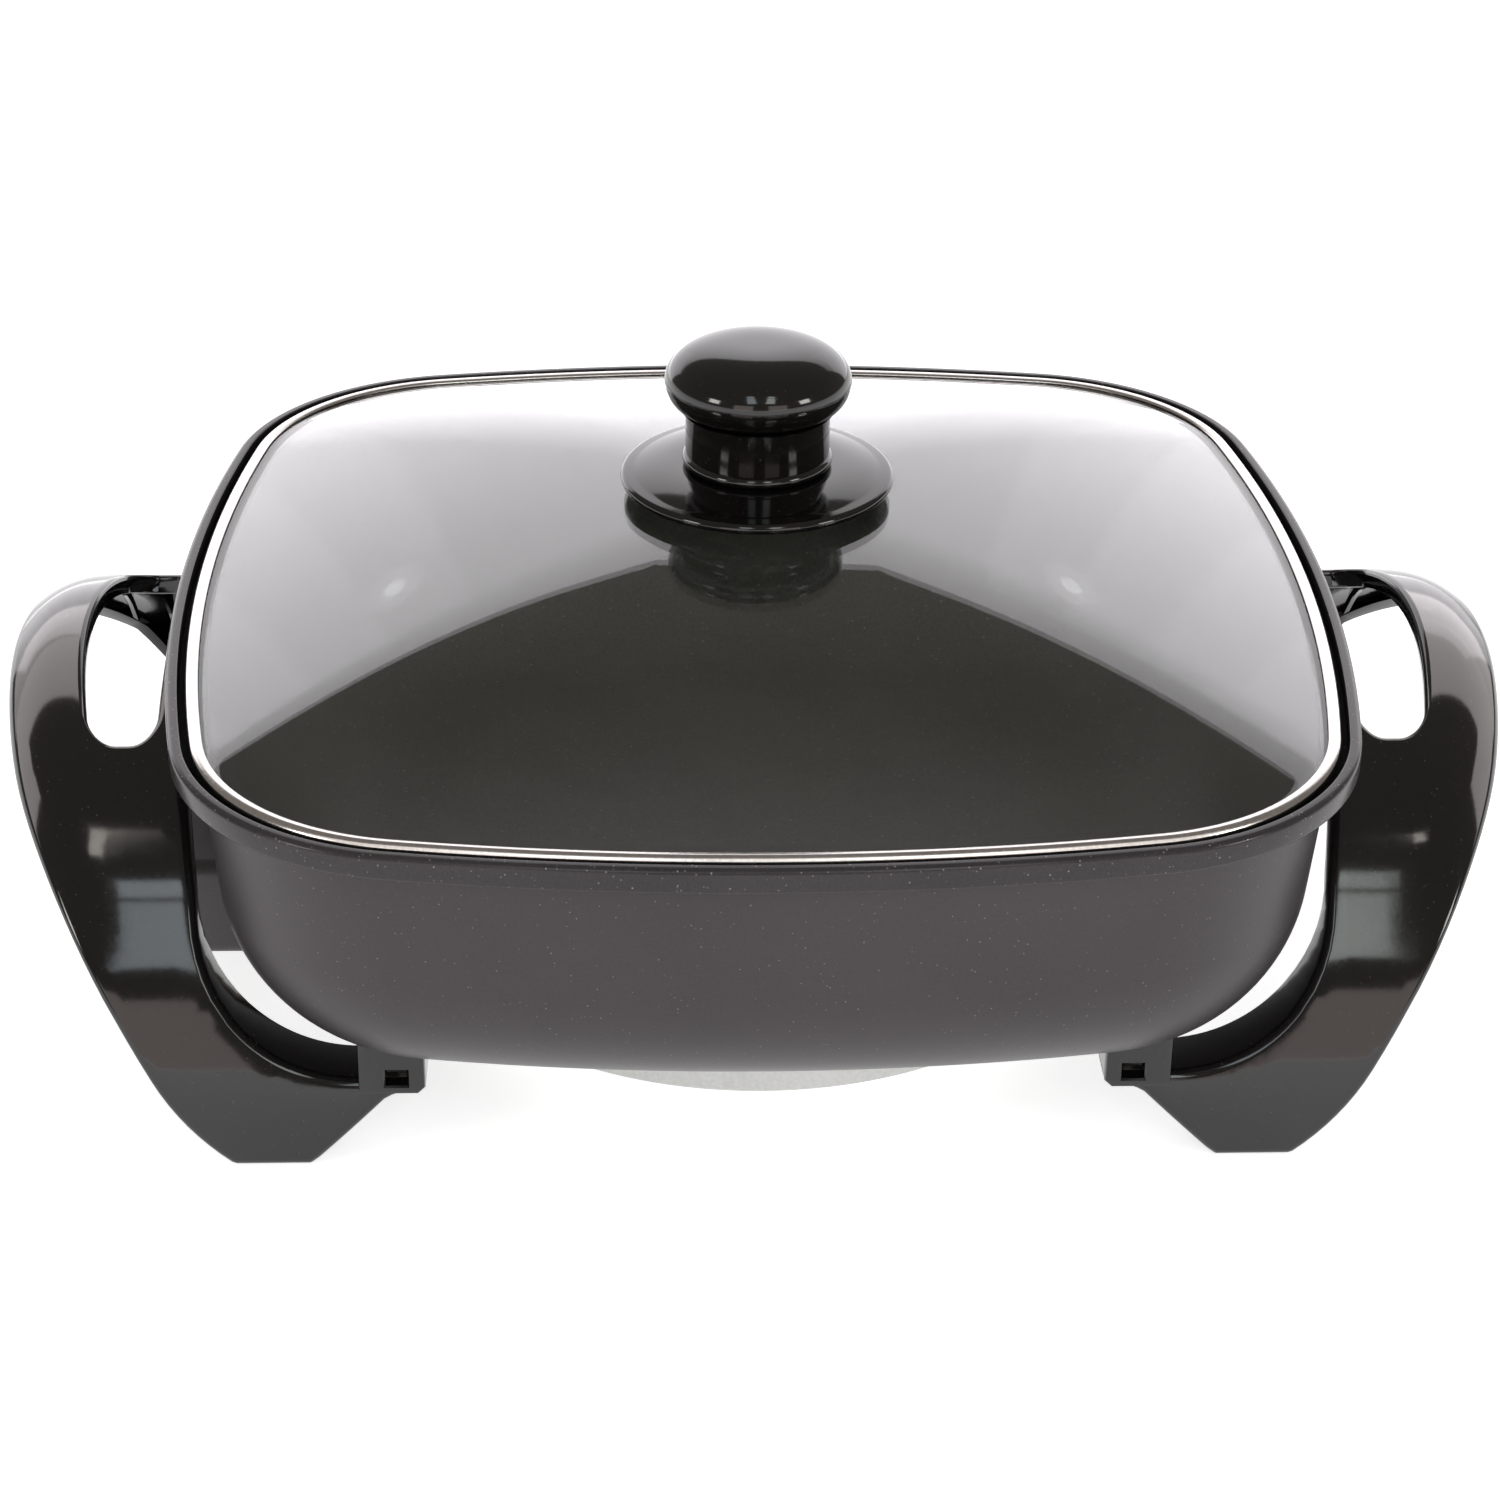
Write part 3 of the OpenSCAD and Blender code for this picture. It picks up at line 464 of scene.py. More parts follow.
def mirror_x(obj: bpy.types.Object) -> None:
    """Mirrors a mesh across x = 0 and keeps its faces outwards.

    Args:
        obj: object whose mesh is mirrored.
    """
    body = bmesh.new()
    body.from_mesh(obj.data)
    for vert in body.verts:
        vert.co.x = -vert.co.x
    bmesh.ops.reverse_faces(body, faces=body.faces)
    body.to_mesh(obj.data)
    body.free()


def arc(centre: Flat, radius: float, start: float, end: float, steps: int) -> list[Flat]:
    """Points of an arc, both ends included.

    Args:
        centre: middle of the arc.
        radius: its radius.
        start: first angle in degrees.
        end: last angle in degrees.
        steps: number of flats.

    Returns:
        The points, steps + 1 of them.
    """
    angles = [math.radians(start + (end - start) * k / steps) for k in range(steps + 1)]
    return [(centre[0] + radius * math.cos(a), centre[1] + radius * math.sin(a)) for a in angles]


def soften(section: list[Flat], radii: dict[int, float], steps: int = 4) -> list[Flat]:
    """Rounds some corners of an open section.

    Args:
        section: points in order.
        radii: number of a corner to the length that the rounding takes of each side.
        steps: number of flats in each rounding.

    Returns:
        The section with those corners replaced by curves.
    """
    out: list[Flat] = []
    for k, point in enumerate(section):
        if k not in radii:
            out.append(point)
            continue
        here = Vector(point)
        back = (Vector(section[k - 1]) - here).normalized() * radii[k]
        ahead = (Vector(section[k + 1]) - here).normalized() * radii[k]
        for j in range(steps + 1):
            t = j / steps
            curve = here + back * (1 - t) ** 2 + ahead * t ** 2
            out.append((curve.x, curve.y))
    return out


def dress(obj: bpy.types.Object, material: bpy.types.Material, body: Body, slot: str,
          *nodes: str) -> bpy.types.Object:
    """Gives a piece its finish and its place in the frame, and reports it.

    Args:
        obj: the piece.
        material: its finish.
        body: body that it moves with.
        slot: material slot of the record that it takes its finish from; not used.
        nodes: CAD nodes that it stands for.

    Returns:
        The piece.
    """
    if not obj.data.materials:
        obj.data.materials.append(material)
    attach(obj, body.value)
    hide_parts(*nodes)
    LOG.info("%s: %d faces, rides on %s", obj.name, len(obj.data.polygons), body.value)
    return obj


# ---------------------------------------------------------------- plan of the rim


@dataclass(frozen=True)
class RimPlan:
    """Plan of the rim: four bowed sides and four round corners, all tangent."""

    width: float = 322.0
    side_r: float = 575.0
    corner_r: float = 70.0
    side_n: int = 26  # flats along a side, and round a corner
    corner_n: int = 26

    @property
    def half(self) -> float:
        """Half the width."""
        return self.width / 2

    @property
    def side_c(self) -> float:
        """Distance of a side's centre from the middle, negative as it lies across."""
        return self.half - self.side_r

    @property
    def corner_c(self) -> float:
        """Distance of a corner's centre along x and along y."""
        gap = self.side_r - self.corner_r
        return (self.side_c + math.sqrt(2 * gap * gap - self.side_c ** 2)) / 2

    @property
    def seam(self) -> float:
        """Angle in degrees at which a side meets a corner."""
        return math.degrees(math.atan2(self.corner_c, self.corner_c - self.side_c))

    def outline(self, d: float) -> list[Flat]:
        """Points of the plan at a distance outwards from the rim.

        Args:
            d: distance outwards.

        Returns:
            The points, anticlockwise.
        """
        quarter = arc((self.side_c, 0), self.side_r + d, -self.seam, self.seam, self.side_n)[:-1]
        quarter += arc((self.corner_c, self.corner_c), self.corner_r + d, self.seam,
                       90 - self.seam, self.corner_n)[:-1]
        out = []
        for cos, sin in ((1, 0), (0, 1), (-1, 0), (0, -1)):
            out += [(x * cos - y * sin, x * sin + y * cos) for x, y in quarter]
        return out

    def carry(self, section: list[Flat]) -> list[list[Point]]:
        """Points of the plan for each (distance outwards, z) point of a section."""
        return [[(x, y, z) for x, y in self.outline(d)] for d, z in section]


# ---------------------------------------------------------------- pan


class PanCoat(Enum):
    """Parts of the pan that have a finish of their own, with the number of their material."""

    OUTSIDE = 0
    COOKING = 1
    RIM = 2
    # painted shade: the ledge and lip wall under the lid's ring, nearly black
    UNDER_RING_SHADE = 3


class Stud(NamedTuple):
    """Cast stud under the pan, with a blind hole for a screw."""

    d: float  # its diameter
    low: float  # height of its lower end
    bore: float  # diameter of its hole


class Lug(NamedTuple):
    """Cast lug that takes a screw of the inlet's guard."""

    y: float
    half: float  # half its width
    start: float  # x at which its seat in the bend starts, and at which it stops
    stop: float
    end: float  # x of its face
    low: float
    sink: float  # how far it goes into the wall


@dataclass
class Pan:
    """Die-cast pan with its rim, and the bosses, posts and lugs under it."""

    plan: RimPlan
    lift: float = 31.0  # height of its underside over the worktop
    height: float = 87.0
    wall: float = 4.0
    floor: float = 4.5
    draft: float = 5.4  # lean of the wall in degrees
    bend_r: float = 49.0  # outer radius of the bend from floor to wall
    fit_gap: float = 0.3  # between the bend and what fits under it
    band_h: float = 6.8  # height of the rim's band, and how far it stands out from the wall
    band_out: float = 7.5
    band_round: float = 1.6
    lip: float = 3.2  # width of the rim's top, and how far below it the ledge lies
    ledge: float = 4.8
    cove: float = 3.6  # radius of the hollow under the band
    boss_at: Flat = (98.5, 94.5)
    boss: Stud = Stud(d=12.0, low=25.0, bore=5.0)
    post_out: float = 52.0  # distance of the posts from the middle
    post: Stud = Stud(d=9.0, low=13.2, bore=4.0)
    lug: Lug = Lug(y=22.9, half=5.0, start=138.2, stop=125.0, end=139.0, low=32.2, sink=2.0)

    @property
    def rim_z(self) -> float:
        """Height of the top of the rim."""
        return self.lift + self.height

    @property
    def bend_z(self) -> float:
        """Height of the centre of the bend."""
        return self.lift + self.bend_r

    @property
    def bend_c(self) -> float:
        """Distance of the bend's centre outwards from the rim.

        Returns:
            The distance, negative as it lies inwards.
        """
        wall_z = self.rim_z - self.band_h - self.cove
        slope = math.tan(math.radians(self.draft))
        return (-self.band_out - (wall_z - self.bend_z) * slope
                - self.bend_r / math.cos(math.radians(self.draft)))

    @property
    def seat_r(self) -> float:
        """Radius of the seats that fit under the bend."""
        return self.bend_r + self.fit_gap

    def outer(self) -> list[Flat]:
        """Draws the section of the outside.

        Returns:
            Its (distance outwards, z) points, from the underside up to the outer edge of the top.
        """
        wall_z = self.rim_z - self.band_h - self.cove
        band_z = self.rim_z - self.band_h
        points = arc((self.bend_c, self.bend_z), self.bend_r, -90, -self.draft, 30)
        points += arc((-self.band_out + self.cove, wall_z), self.cove, 180, 98, 10)
        points += arc((-1.0, band_z + 1.0), 1.0, -88, 0, 6)
        points += arc((-self.band_round, self.rim_z - self.band_round), self.band_round, 0, 90, 8)
        return points

    def inner(self) -> list[Flat]:
        """Draws the section of the inside.

        Returns:
            Its (distance outwards, z) points, from the inner edge of the top down to the floor.
        """
        inner_r = self.bend_r - self.wall
        inner_z = self.lift + self.floor + inner_r
        ledge_z = self.rim_z - self.ledge
        top = (self.bend_c + inner_r / math.cos(math.radians(self.draft))
               + (ledge_z - inner_z) * math.tan(math.radians(self.draft)))
        corner = [(-self.lip + 0.6, self.rim_z), (-self.lip, self.rim_z), (-self.lip, ledge_z),
                  (top, ledge_z), (top - 0.3, ledge_z - 3)]
        points = soften(corner, {1: 0.5, 2: 0.5, 3: 0.9})
        points += arc((self.bend_c, inner_z), inner_r, -self.draft, -90, 30)
        return points

    def make(self, coats: dict[PanCoat, bpy.types.Material]) -> bpy.types.Object:
        """Builds the pan.

        Args:
            coats: finish of each of its parts.

        Returns:
            The pan.
        """
        sketch = Sketch()
        sketch.loft(self.plan.carry(self.outer() + self.inner()))
        for sx in (-1, 1):
            for sy in (-1, 1):
                self.add_stud(sketch, self.boss, (sx * self.boss_at[0], sy * self.boss_at[1]))
        for at in arc((0, 0), self.post_out, 0, 240, 2):
            self.add_stud(sketch, self.post, at)
        for side in (-1, 1):
            self.add_lug(sketch, side)
        obj = sketch.make("pan_casting")
        for part in PanCoat:
            obj.data.materials.append(coats[part])
        self.coat(obj)
        return dress(obj, coats[PanCoat.OUTSIDE], Body.SKILLET, "coated_aluminium", "pan")

    def coat(self, obj: bpy.types.Object) -> None:
        """Gives each face of the pan the finish of the part that it is in.

        Args:
            obj: the pan, with a material for each part.
        """
        in_lip = [Vector(point) * MM for point in self.plan.outline(-self.lip + 0.4)]
        lip_z = (self.rim_z - 0.3) * MM
        shade_z = (self.rim_z - self.ledge - 0.6) * MM
        ledge_z = (self.rim_z - self.ledge - 1.2) * MM
        band_z = (self.rim_z - self.band_h - 0.1) * MM
        floor_z = (self.lift + self.floor - 0.4) * MM
        for face in obj.data.polygons:
            spot = face.center
            part = PanCoat.OUTSIDE
            if floor_z <= spot.z <= ledge_z and (
                    face.normal.z > 0.3 or spot.xy.dot(face.normal.xy) < 0):
                part = PanCoat.COOKING
            # the ledge and the lip's inner wall under the ring get painted shade, nearly black
            elif shade_z < spot.z < lip_z and inside(spot.xy, in_lip):
                part = PanCoat.UNDER_RING_SHADE
            # the rim's band and top get the rim coat, glossier and darker, partly painted shade
            elif spot.z > band_z:
                part = PanCoat.RIM
            face.material_index = part.value

    def add_stud(self, sketch: Sketch, stud: Stud, at: Flat) -> None:
        """Adds a stud.

        Args:
            sketch: mesh that it is added to.
            stud: its sizes.
            at: x and y of its axis.
        """
        top, z = self.lift + 0.5, stud.low
        r, bore_r = stud.d / 2, stud.bore / 2
        sketch.lathe([(0, z + 6), (bore_r, z + 6), (bore_r, z + 0.3), (bore_r + 0.3, z),
                      (r - 0.6, z), (r - 0.15, z + 0.2), (r, z + 0.7), (r, top - 1.0),
                      (r + 0.4, top - 0.2), (r + 1.2, top), (0, top)], steps=40, at=at)

    def add_lug(self, sketch: Sketch, side: int) -> None:
        """Adds a lug.

        Args:
            sketch: mesh that it is added to.
            side: -1 for the front one, 1 for the rear one.
        """
        lug = self.lug
        centre = (self.plan.half + self.bend_c, self.bend_z)
        seat_r = self.bend_r - lug.sink
        first, last = (math.degrees(math.acos((x - centre[0]) / seat_r))
                       for x in (lug.start, lug.stop))
        seat = arc(centre, seat_r, -first, -last, 6)
        end, low = -lug.end, lug.low
        shape = [(end + 0.6, low), (end, low + 0.6), (end, seat[0][1] - 0.8)]
        shape += [(-x, z) for x, z in seat] + [(-lug.stop, low)]
        y0, y1 = side * lug.y - lug.half, side * lug.y + lug.half
        inset = [(x + (0.5 if x < end + 1 else 0), z + (0.5 if z < low + 3.8 else -0.3))
                 for x, z in shape]
        rings = [[(x, y0, z) for x, z in inset], [(x, y0 + 0.5, z) for x, z in shape],
                 [(x, y1 - 0.5, z) for x, z in shape], [(x, y1, z) for x, z in inset]]
        sketch.loft(rings)


# ---------------------------------------------------------------- side mouldings


@dataclass(frozen=True)
class Level:
    """Level of a loop: how deep it lies, from the skin or from the back edge, and how far it is
    drawn in from the bar's edges."""

    depth: float
    inset: float
    from_back: bool = False


class Crook(NamedTuple):
    """Round hollow of the legs' inner edge, beside the pan."""

    x: float
    z: float
    r: float


class Toe(NamedTuple):
    """Part of a foot that reaches in under the pan."""

    x: float  # its tip
    top: float
    low: float  # its lower side at the tip, and where it meets the foot
    root: float
    run: float  # from the tip to there


class Opening(NamedTuple):
    """Finger opening of the grip, seen from above."""

    x0: float
    x1: float
    half: float  # half its length
    corner: float
    bow: float  # how much nearer its outer side is at the ends than in the middle


class Roll(NamedTuple):
    """Round of the grip's outer side for the palm."""

    width: float
    drop: float
    full: float  # angle from the crest, in degrees, up to which it is full
    none: float  # and from which there is none
    power: float


class Tab(NamedTuple):
    """Block on a toe that fits under the pan's corner."""

    x0: float
    x1: float
    y0: float
    y1: float
    low: float
    edge: float  # bevel of its front edges


class Pocket(NamedTuple):
    """Square pocket in the front face of a tab."""

    x0: float
    x1: float
    z0: float
    z1: float


class Counterbore(NamedTuple):
    """Hole under a toe that sinks the head of the tab's screw."""

    x: float
    y: float
    r: float
    top: float


@dataclass
class SideMoulding:
    """Moulding that is a grip at the top and two legs below it, one bar along an arch.

    It is built towards +X, as loops of points at rising depth below its skin, and mirrored for
    the left side.
    """

    plan: RimPlan
    crest_z: float = 108.5  # top of the arch's skin
    foot_y: float = 113.0  # distance of the skin from the middle at the feet
    grip_x: float = 207.0  # how far out the grip reaches
    edge_drop: float = 7.5  # how far below the crest the leaning edge gets to there
    bow_r: float = 280.0  # radius of the grip's outer edge in plan
    edge_blend: float = 1.6  # softness of the turn from the leaning edge into the bow
    edge_out: float = 0.15  # and how far out both go to make up for it
    knee: Flat = (162.5, 24.0)  # x and z at which the outer edge turns in to the foot
    foot_x: Flat = (120.5, 141.5)
    crook: Crook = Crook(x=108.0, z=66.5, r=42.0)
    lean_in: float = 7.0  # how far the inner edge leans out above the crook
    toe: Toe = Toe(x=90.0, top=24.5, low=22.2, root=19.5, run=10.0)
    opening: Opening = Opening(x0=163.0, x1=185.6, half=52.0, corner=9.0, bow=5.4)
    depth: float = 5.5  # from the skin to the back edge at the grip, and at the feet
    leg_depth: float = 15.5
    back_lean: float = 13.0  # lean of the legs' back edge in degrees
    wall: float = 3.0
    edge_round: float = 2.2
    roll: Roll = Roll(width=17.0, drop=6.2, full=34.0, none=62.0, power=2.4)
    rib_x: tuple[float, ...] = (164.5, 175.0, 185.5)
    rib_start: float = 53.5  # distance from the middle at which the ribs start
    rib_low: float = 28.0  # height at which they end at the latest
    tab: Tab = Tab(x0=90.0, x1=107.6, y0=83.0, y1=111.4, low=21.4, edge=0.9)
    pocket: Pocket = Pocket(x0=94.7, x1=100.5, z0=24.0, z1=28.7)
    fixed_z: float = 40.0  # height under which the edges follow the outline of the foot
    counterbore: Counterbore = Counterbore(x=98.5, y=94.5, r=6.0, top=21.4)
    fill_x: float = 88.0  # first place and step of the points that fill the skin
    fill_step: float = 4.5
    fill_gap: float = 2.6  # how far those points keep from its edges
    sharp: float = 38.0  # angle in degrees from which an edge stays sharp

    @property
    def arch_z(self) -> float:
        """Height of the arch's axis."""
        return (self.crest_z ** 2 - self.foot_y ** 2) / (2 * self.crest_z)

    @property
    def arch_r(self) -> float:
        """Radius of the arch's skin."""
        return self.crest_z - self.arch_z

    @property
    def lean(self) -> float:
        """Lean of the outer edge from upright, in radians."""
        rise = self.crest_z - self.edge_drop - self.knee[1]
        return math.atan2(self.grip_x - self.knee[0], rise)

    def outer_x(self, y: float, z: float, g: float) -> float:
        """Outer edge at a point of the arch: the leaning line, or the bow of the grip in plan.

        Args:
            y: distance from the middle of the arch.
            z: height.
            g: how far the edge is drawn in.

        Returns:
            Its x.
        """
        line = self.knee[0] + (z - self.knee[1]) * math.tan(self.lean) - g / math.cos(self.lean)
        r = self.bow_r - g
        bow = self.grip_x - self.bow_r + math.sqrt(r * r - y * y)
        soft = math.sqrt((line - bow) ** 2 + self.edge_blend ** 2)
        return 0.5 * (line + bow - soft) + self.edge_out

    def inner_x(self, z: float, g: float) -> float:
        """Inner edge at a height: the crook, then the line above it that leans out.

        Args:
            z: height.
            g: how far the edge is drawn in.

        Returns:
            Its x.
        """
        x, mid, r = self.crook
        if z < mid:
            return x + math.sqrt(max((r + g) ** 2 - (z - mid) ** 2, 0.0))
        return x + r + g + self.lean_in * (z - mid) / (self.crest_z - mid)

    def rolled(self, point: Point) -> Point:
        """Rolls the grip's outer side down for the palm, and leaves the legs flat.

        Args:
            point: place on or behind the flat skin.

        Returns:
            Its place on the rolled grip.
        """
        width, drop, full, none, power = self.roll
        x, y, z = point
        angle = math.atan2(abs(y), z - self.arch_z)
        fade = max(0.0, min(1.0, (math.degrees(angle) - full) / (none - full)))
        share = 1 - fade * fade * (3 - 2 * fade)
        edge = self.outer_x(self.arch_r * math.sin(angle),
                            self.arch_z + self.arch_r * math.cos(angle), 0.0)
        near = max(0.0, 1 - max(edge - x, 0.0) / width)
        r = math.hypot(y, z - self.arch_z) - share * drop * near ** power
        return x, math.copysign(r * math.sin(angle), y), self.arch_z + r * math.cos(angle)

    def low_outline(self) -> tuple[list[Flat], list[Flat]]:
        """Lower outline in front view, from the inner edge round the toe and foot to the outer.

        Returns:
            The points and the unit normals that point out of the leg.
        """
        cx, cz, cr = self.crook
        x0, x1 = self.foot_x
        toe_x, toe_top, toe_low, toe_root, run = self.toe
        start = math.degrees(math.asin((self.fixed_z - cz) / cr))
        points = arc((cx, cz), cr, start, -90, 16)
        points += [(101.0, toe_top), (94.0, toe_top), (toe_x + 0.9, toe_top)]
        points += [(toe_x, toe_top - 0.9), (toe_x, toe_low + 0.9), (toe_x + 0.9, toe_low - 0.12)]
        points += [(94.0, toe_low - 0.68), (toe_x + run - 1, toe_root + 0.14)]
        points += [(toe_x + run + 0.8, toe_root - 0.8)]
        points += [(toe_x + run + (x0 - toe_x - run) * t, toe_root * (1 - t))
                   for t in (0.15, 0.35, 0.55, 0.75, 0.9)]
        points += [(x0 - 0.2, 0.5), (x0 + 0.7, 0.0), (x0 + 7, 0.0), (x1 - 7, 0.0), (x1 - 0.8, 0.0)]
        lean = self.lean
        normal = Vector((-math.cos(lean), math.sin(lean)))
        v = Vector((x1 - self.knee[0], -self.knee[1]))
        heel = v.dot(v) / (2 * v.dot(normal))
        centre = Vector(self.knee) + heel * normal
        first = math.atan2(0.9 - centre.y, x1 + 0.45 - centre.x)
        last = math.atan2(self.knee[1] - centre.y, self.knee[0] - centre.x)
        points += [(centre.x + heel * math.cos(first + (last - first) * k / 8),
                    centre.y + heel * math.sin(first + (last - first) * k / 8)) for k in range(9)]
        rise = self.fixed_z - self.knee[1]
        points += [(self.knee[0] + rise * t * math.tan(lean), self.knee[1] + rise * t)
                   for t in (0.33, 0.67, 1.0)]
        normals = []
        for k in range(len(points)):
            before = Vector(points[max(k - 1, 0)])
            after = Vector(points[min(k + 1, len(points) - 1)])
            way = (after - before).normalized()
            normals.append((way.y, -way.x))
        if normals[0][0] > 0:
            normals = [(-x, -z) for x, z in normals]
        normals[0] = (-math.cos(math.radians(start)), -math.sin(math.radians(start)))
        normals[-1] = (math.cos(lean), -math.sin(lean))
        return points, normals

    def heights(self) -> list[float]:
        """Divides the skin from the crest down to where the foot's outline takes over.

        Returns:
            The heights, from the top.
        """
        top = math.acos((self.fixed_z - self.arch_z) / self.arch_r)
        count = 24
        return [self.arch_z + self.arch_r * math.cos(top * k / count) for k in range(count + 1)]

    def back_r(self, angle: float) -> float:
        """Distance of the back edge from the arch's axis.

        Args:
            angle: angle from upright, in radians.

        Returns:
            The distance.
        """
        slope = math.tan(math.radians(self.back_lean))
        across = self.foot_y - self.leg_depth - slope * self.arch_z
        return min(self.arch_r - self.depth,
                   across / (math.sin(angle) + slope * math.cos(angle)))

    def spot(self, z: float, level: Level) -> Flat:
        """Place at a level under a point of the skin, as distance from the middle and height.

        Args:
            z: height of the point on the skin. The way in from there is level on the legs and
                turns downwards towards the crest.
            level: how far in.

        Returns:
            Its y, on the rear half, and its z.
        """
        up = z - self.arch_z
        y = math.sqrt(max(self.arch_r ** 2 - up * up, 0.0))
        share = max(0.0, min(1.0, (z - self.fixed_z) / (self.crest_z - self.fixed_z)))
        way = (math.cos(math.pi / 2 * share), math.sin(math.pi / 2 * share))
        toward = y * way[0] + up * way[1]

        def reach(r: float) -> float:
            """Length of the way in to a circle about the arch's axis."""
            return toward - math.sqrt(max(toward ** 2 - self.arch_r ** 2 + r * r, 0.0))

        if not level.from_back:
            t = reach(self.arch_r - level.depth)
        else:
            slope = math.tan(math.radians(self.back_lean))
            line = (y - self.foot_y + self.leg_depth + slope * z) / (way[0] + slope * way[1])
            t = max(reach(self.arch_r - self.depth), line) - level.depth
        return y - t * way[0], z - t * way[1]

    def boundary(self, level: Level) -> list[Point]:
        """Closed loop round the whole bar at one level.

        Args:
            level: how far in from the skin or the back edge, and from the bar's edges.

        Returns:
            Its points: down the rear outer edge, round the foot, up the inner edge and back.
        """
        g = level.inset
        upper = [self.spot(z, level) for z in self.heights()[:-1]]
        outer = [(self.outer_x(y, z, g), y, z) for y, z in upper]
        inner = [(self.inner_x(z, g), y, z) for y, z in upper]
        foot = []
        for (x, z), (nx, nz) in zip(*self.low_outline()):
            thin = min(g, 1.7) if x < self.toe.x + self.toe.run else g
            z_in = z - nz * thin
            foot.append((x - nx * thin, self.spot(z_in, level)[0], z_in))
        half = outer + list(reversed(foot)) + list(reversed(inner))
        other = [(x, -y, z) for x, y, z in reversed(half)]
        return half + other[1:-1]

    def hole(self, level: Level) -> list[Point]:
        """Closed loop round the finger opening at one level.

        Args:
            level: how far in from the skin or the back edge, and into the bar from the opening.

        Returns:
            Its points.
        """
        x0, x1, y1, r, bow = self.opening
        rr = r + level.inset
        flat: list[Flat] = []
        for cx, cy, start in ((x1 - r, y1 - r, 0), (x0 + r, y1 - r, 90), (x0 + r, r - y1, 180),
                              (x1 - r, r - y1, 270)):
            flat += arc((cx, cy), rr, start, start + 90, 10)
        long: list[Flat] = []
        for k, point in enumerate(flat):
            after = flat[(k + 1) % len(flat)]
            count = max(1, round(abs(after[1] - point[1]) / 5))
            long += [(point[0] + (after[0] - point[0]) * j / count,
                      point[1] + (after[1] - point[1]) * j / count) for j in range(count)]
        # the outer side of the opening is bowed, as the grip's own edge is
        long = [(x - bow * (y / y1) ** 2 * max(0.0, (x - x0) / (x1 - x0)), y)
                for x, y in long]
        below = self.depth - level.depth if level.from_back else level.depth
        radius = self.arch_r - below
        return [(x, y, self.arch_z + math.sqrt(radius ** 2 - y * y)) for x, y in long]

    def fill(self, sketch: Sketch, outer: list[int], hole: list[int], below: float) -> None:
        """Fills between the bar's edge and the finger opening with points on the arch.

        Args:
            sketch: mesh that holds both loops.
            outer: numbers of the outer loop.
            hole: numbers of the loop round the opening.
            below: depth below the skin.
        """
        r = self.arch_r - below

        def unroll(point: Point) -> Vector:
            """Place of a point on the unrolled arch."""
            return Vector((point[0], r * math.atan2(point[1], point[2] - self.arch_z)))

        places = [unroll(sketch.points[k]) for k in outer + hole]
        count = len(outer)
        total = len(places)
        edges = [(k, (k + 1) % count) for k in range(count)]
        edges += [(count + k, count + (k + 1) % len(hole)) for k in range(len(hole))]
        numbers = outer + hole
        step = self.fill_step
        rows = int(r * math.pi / 2 / step)
        columns = [self.fill_x + column * step for column in range(22)]
        # the columns lie twice as close over the rolled side of the grip
        columns += [columns[-1] + 0.5 * step * column for column in range(1, 13)]
        for row in range(-rows, rows + 1):
            for x in columns:
                place = Vector((x, row * step))
                if min((p - place).length for p in places[:total]) < self.fill_gap:
                    continue
                places.append(place)
                angle = place.y / r
                numbers += sketch.ring([(place.x, r * math.sin(angle),
                                         self.arch_z + r * math.cos(angle))])
        found, _, faces, origin, _, _ = delaunay_2d_cdt(places, edges, [], 0, 1e-4)
        ring = [places[k] for k in range(count)]
        gap = [places[count + k] for k in range(len(hole))]
        back = [o[0] if o else -1 for o in origin]
        for face in faces:
            middle = sum((found[k] for k in face), Vector((0, 0))) / len(face)
            if inside(middle, ring) and not inside(middle, gap):
                if all(back[k] >= 0 for k in face):
                    sketch.faces.append(tuple(numbers[back[k]] for k in face))

    def shell(self) -> Sketch:
        """Builds the bar: skin, rounded edges, walls, rims and the hollow behind.

        Returns:
            Its mesh, to which the ribs can be added.
        """
        sketch = Sketch()
        rho, wall = self.edge_round, self.wall
        curve = [math.radians(15 * k) for k in range(7)]
        levels = [Level(rho * (1 - math.cos(a)), rho * (1 - math.sin(a))) for a in curve]
        levels += [Level(b, g, True) for b, g in
                   ((0.6, 0.0), (0.15, 0.15), (0.0, 0.6), (0.0, wall - 0.5), (0.15, wall - 0.1),
                    (0.6, wall))]
        levels.append(Level(wall, wall))
        # the outer loop and the loop round the opening go through the same levels
        outer = [sketch.ring(self.boundary(level)) for level in levels]
        holes = [sketch.ring(self.hole(level)) for level in levels]
        for rings in (outer, holes):
            for low, high in zip(rings, rings[1:]):
                sketch.bridge(low, high)
        self.fill(sketch, outer[0], holes[0], 0.0)
        self.fill(sketch, outer[-1], holes[-1], wall)
        return sketch

    def ribs(self, sketch: Sketch) -> None:
        """Adds the stiffening ribs inside both legs.

        Args:
            sketch: mesh of the bar.
        """
        top = self.arch_r - self.wall / 2
        start = math.asin(self.rib_start / self.arch_r)
        for x in self.rib_x:
            z_end = self.knee[1] + (x + 2.2 - self.knee[0]) / math.tan(self.lean)
            up = max(z_end, self.rib_low) - self.arch_z
            # both edges of a rib stop at one height, so that its end stays in the outer wall
            end = back_end = math.acos(up / top)
            for _ in range(12):
                back_end = math.acos(up / (self.back_r(back_end) + 0.8))
            for sign in (-1, 1):
                rings = []
                for k in range(13):
                    a = start + (end - start) * k / 12
                    b = start + (back_end - start) * k / 12
                    low = self.back_r(b) + 0.5
                    rings.append([(x + sx, sign * r * math.sin(t), self.arch_z + r * math.cos(t))
                                  for sx, r, t in ((-0.9, top, a), (-0.8, low + 0.3, b),
                                                   (-0.5, low, b), (0.5, low, b),
                                                   (0.8, low + 0.3, b), (0.9, top, a))])
                sketch.loft(rings)

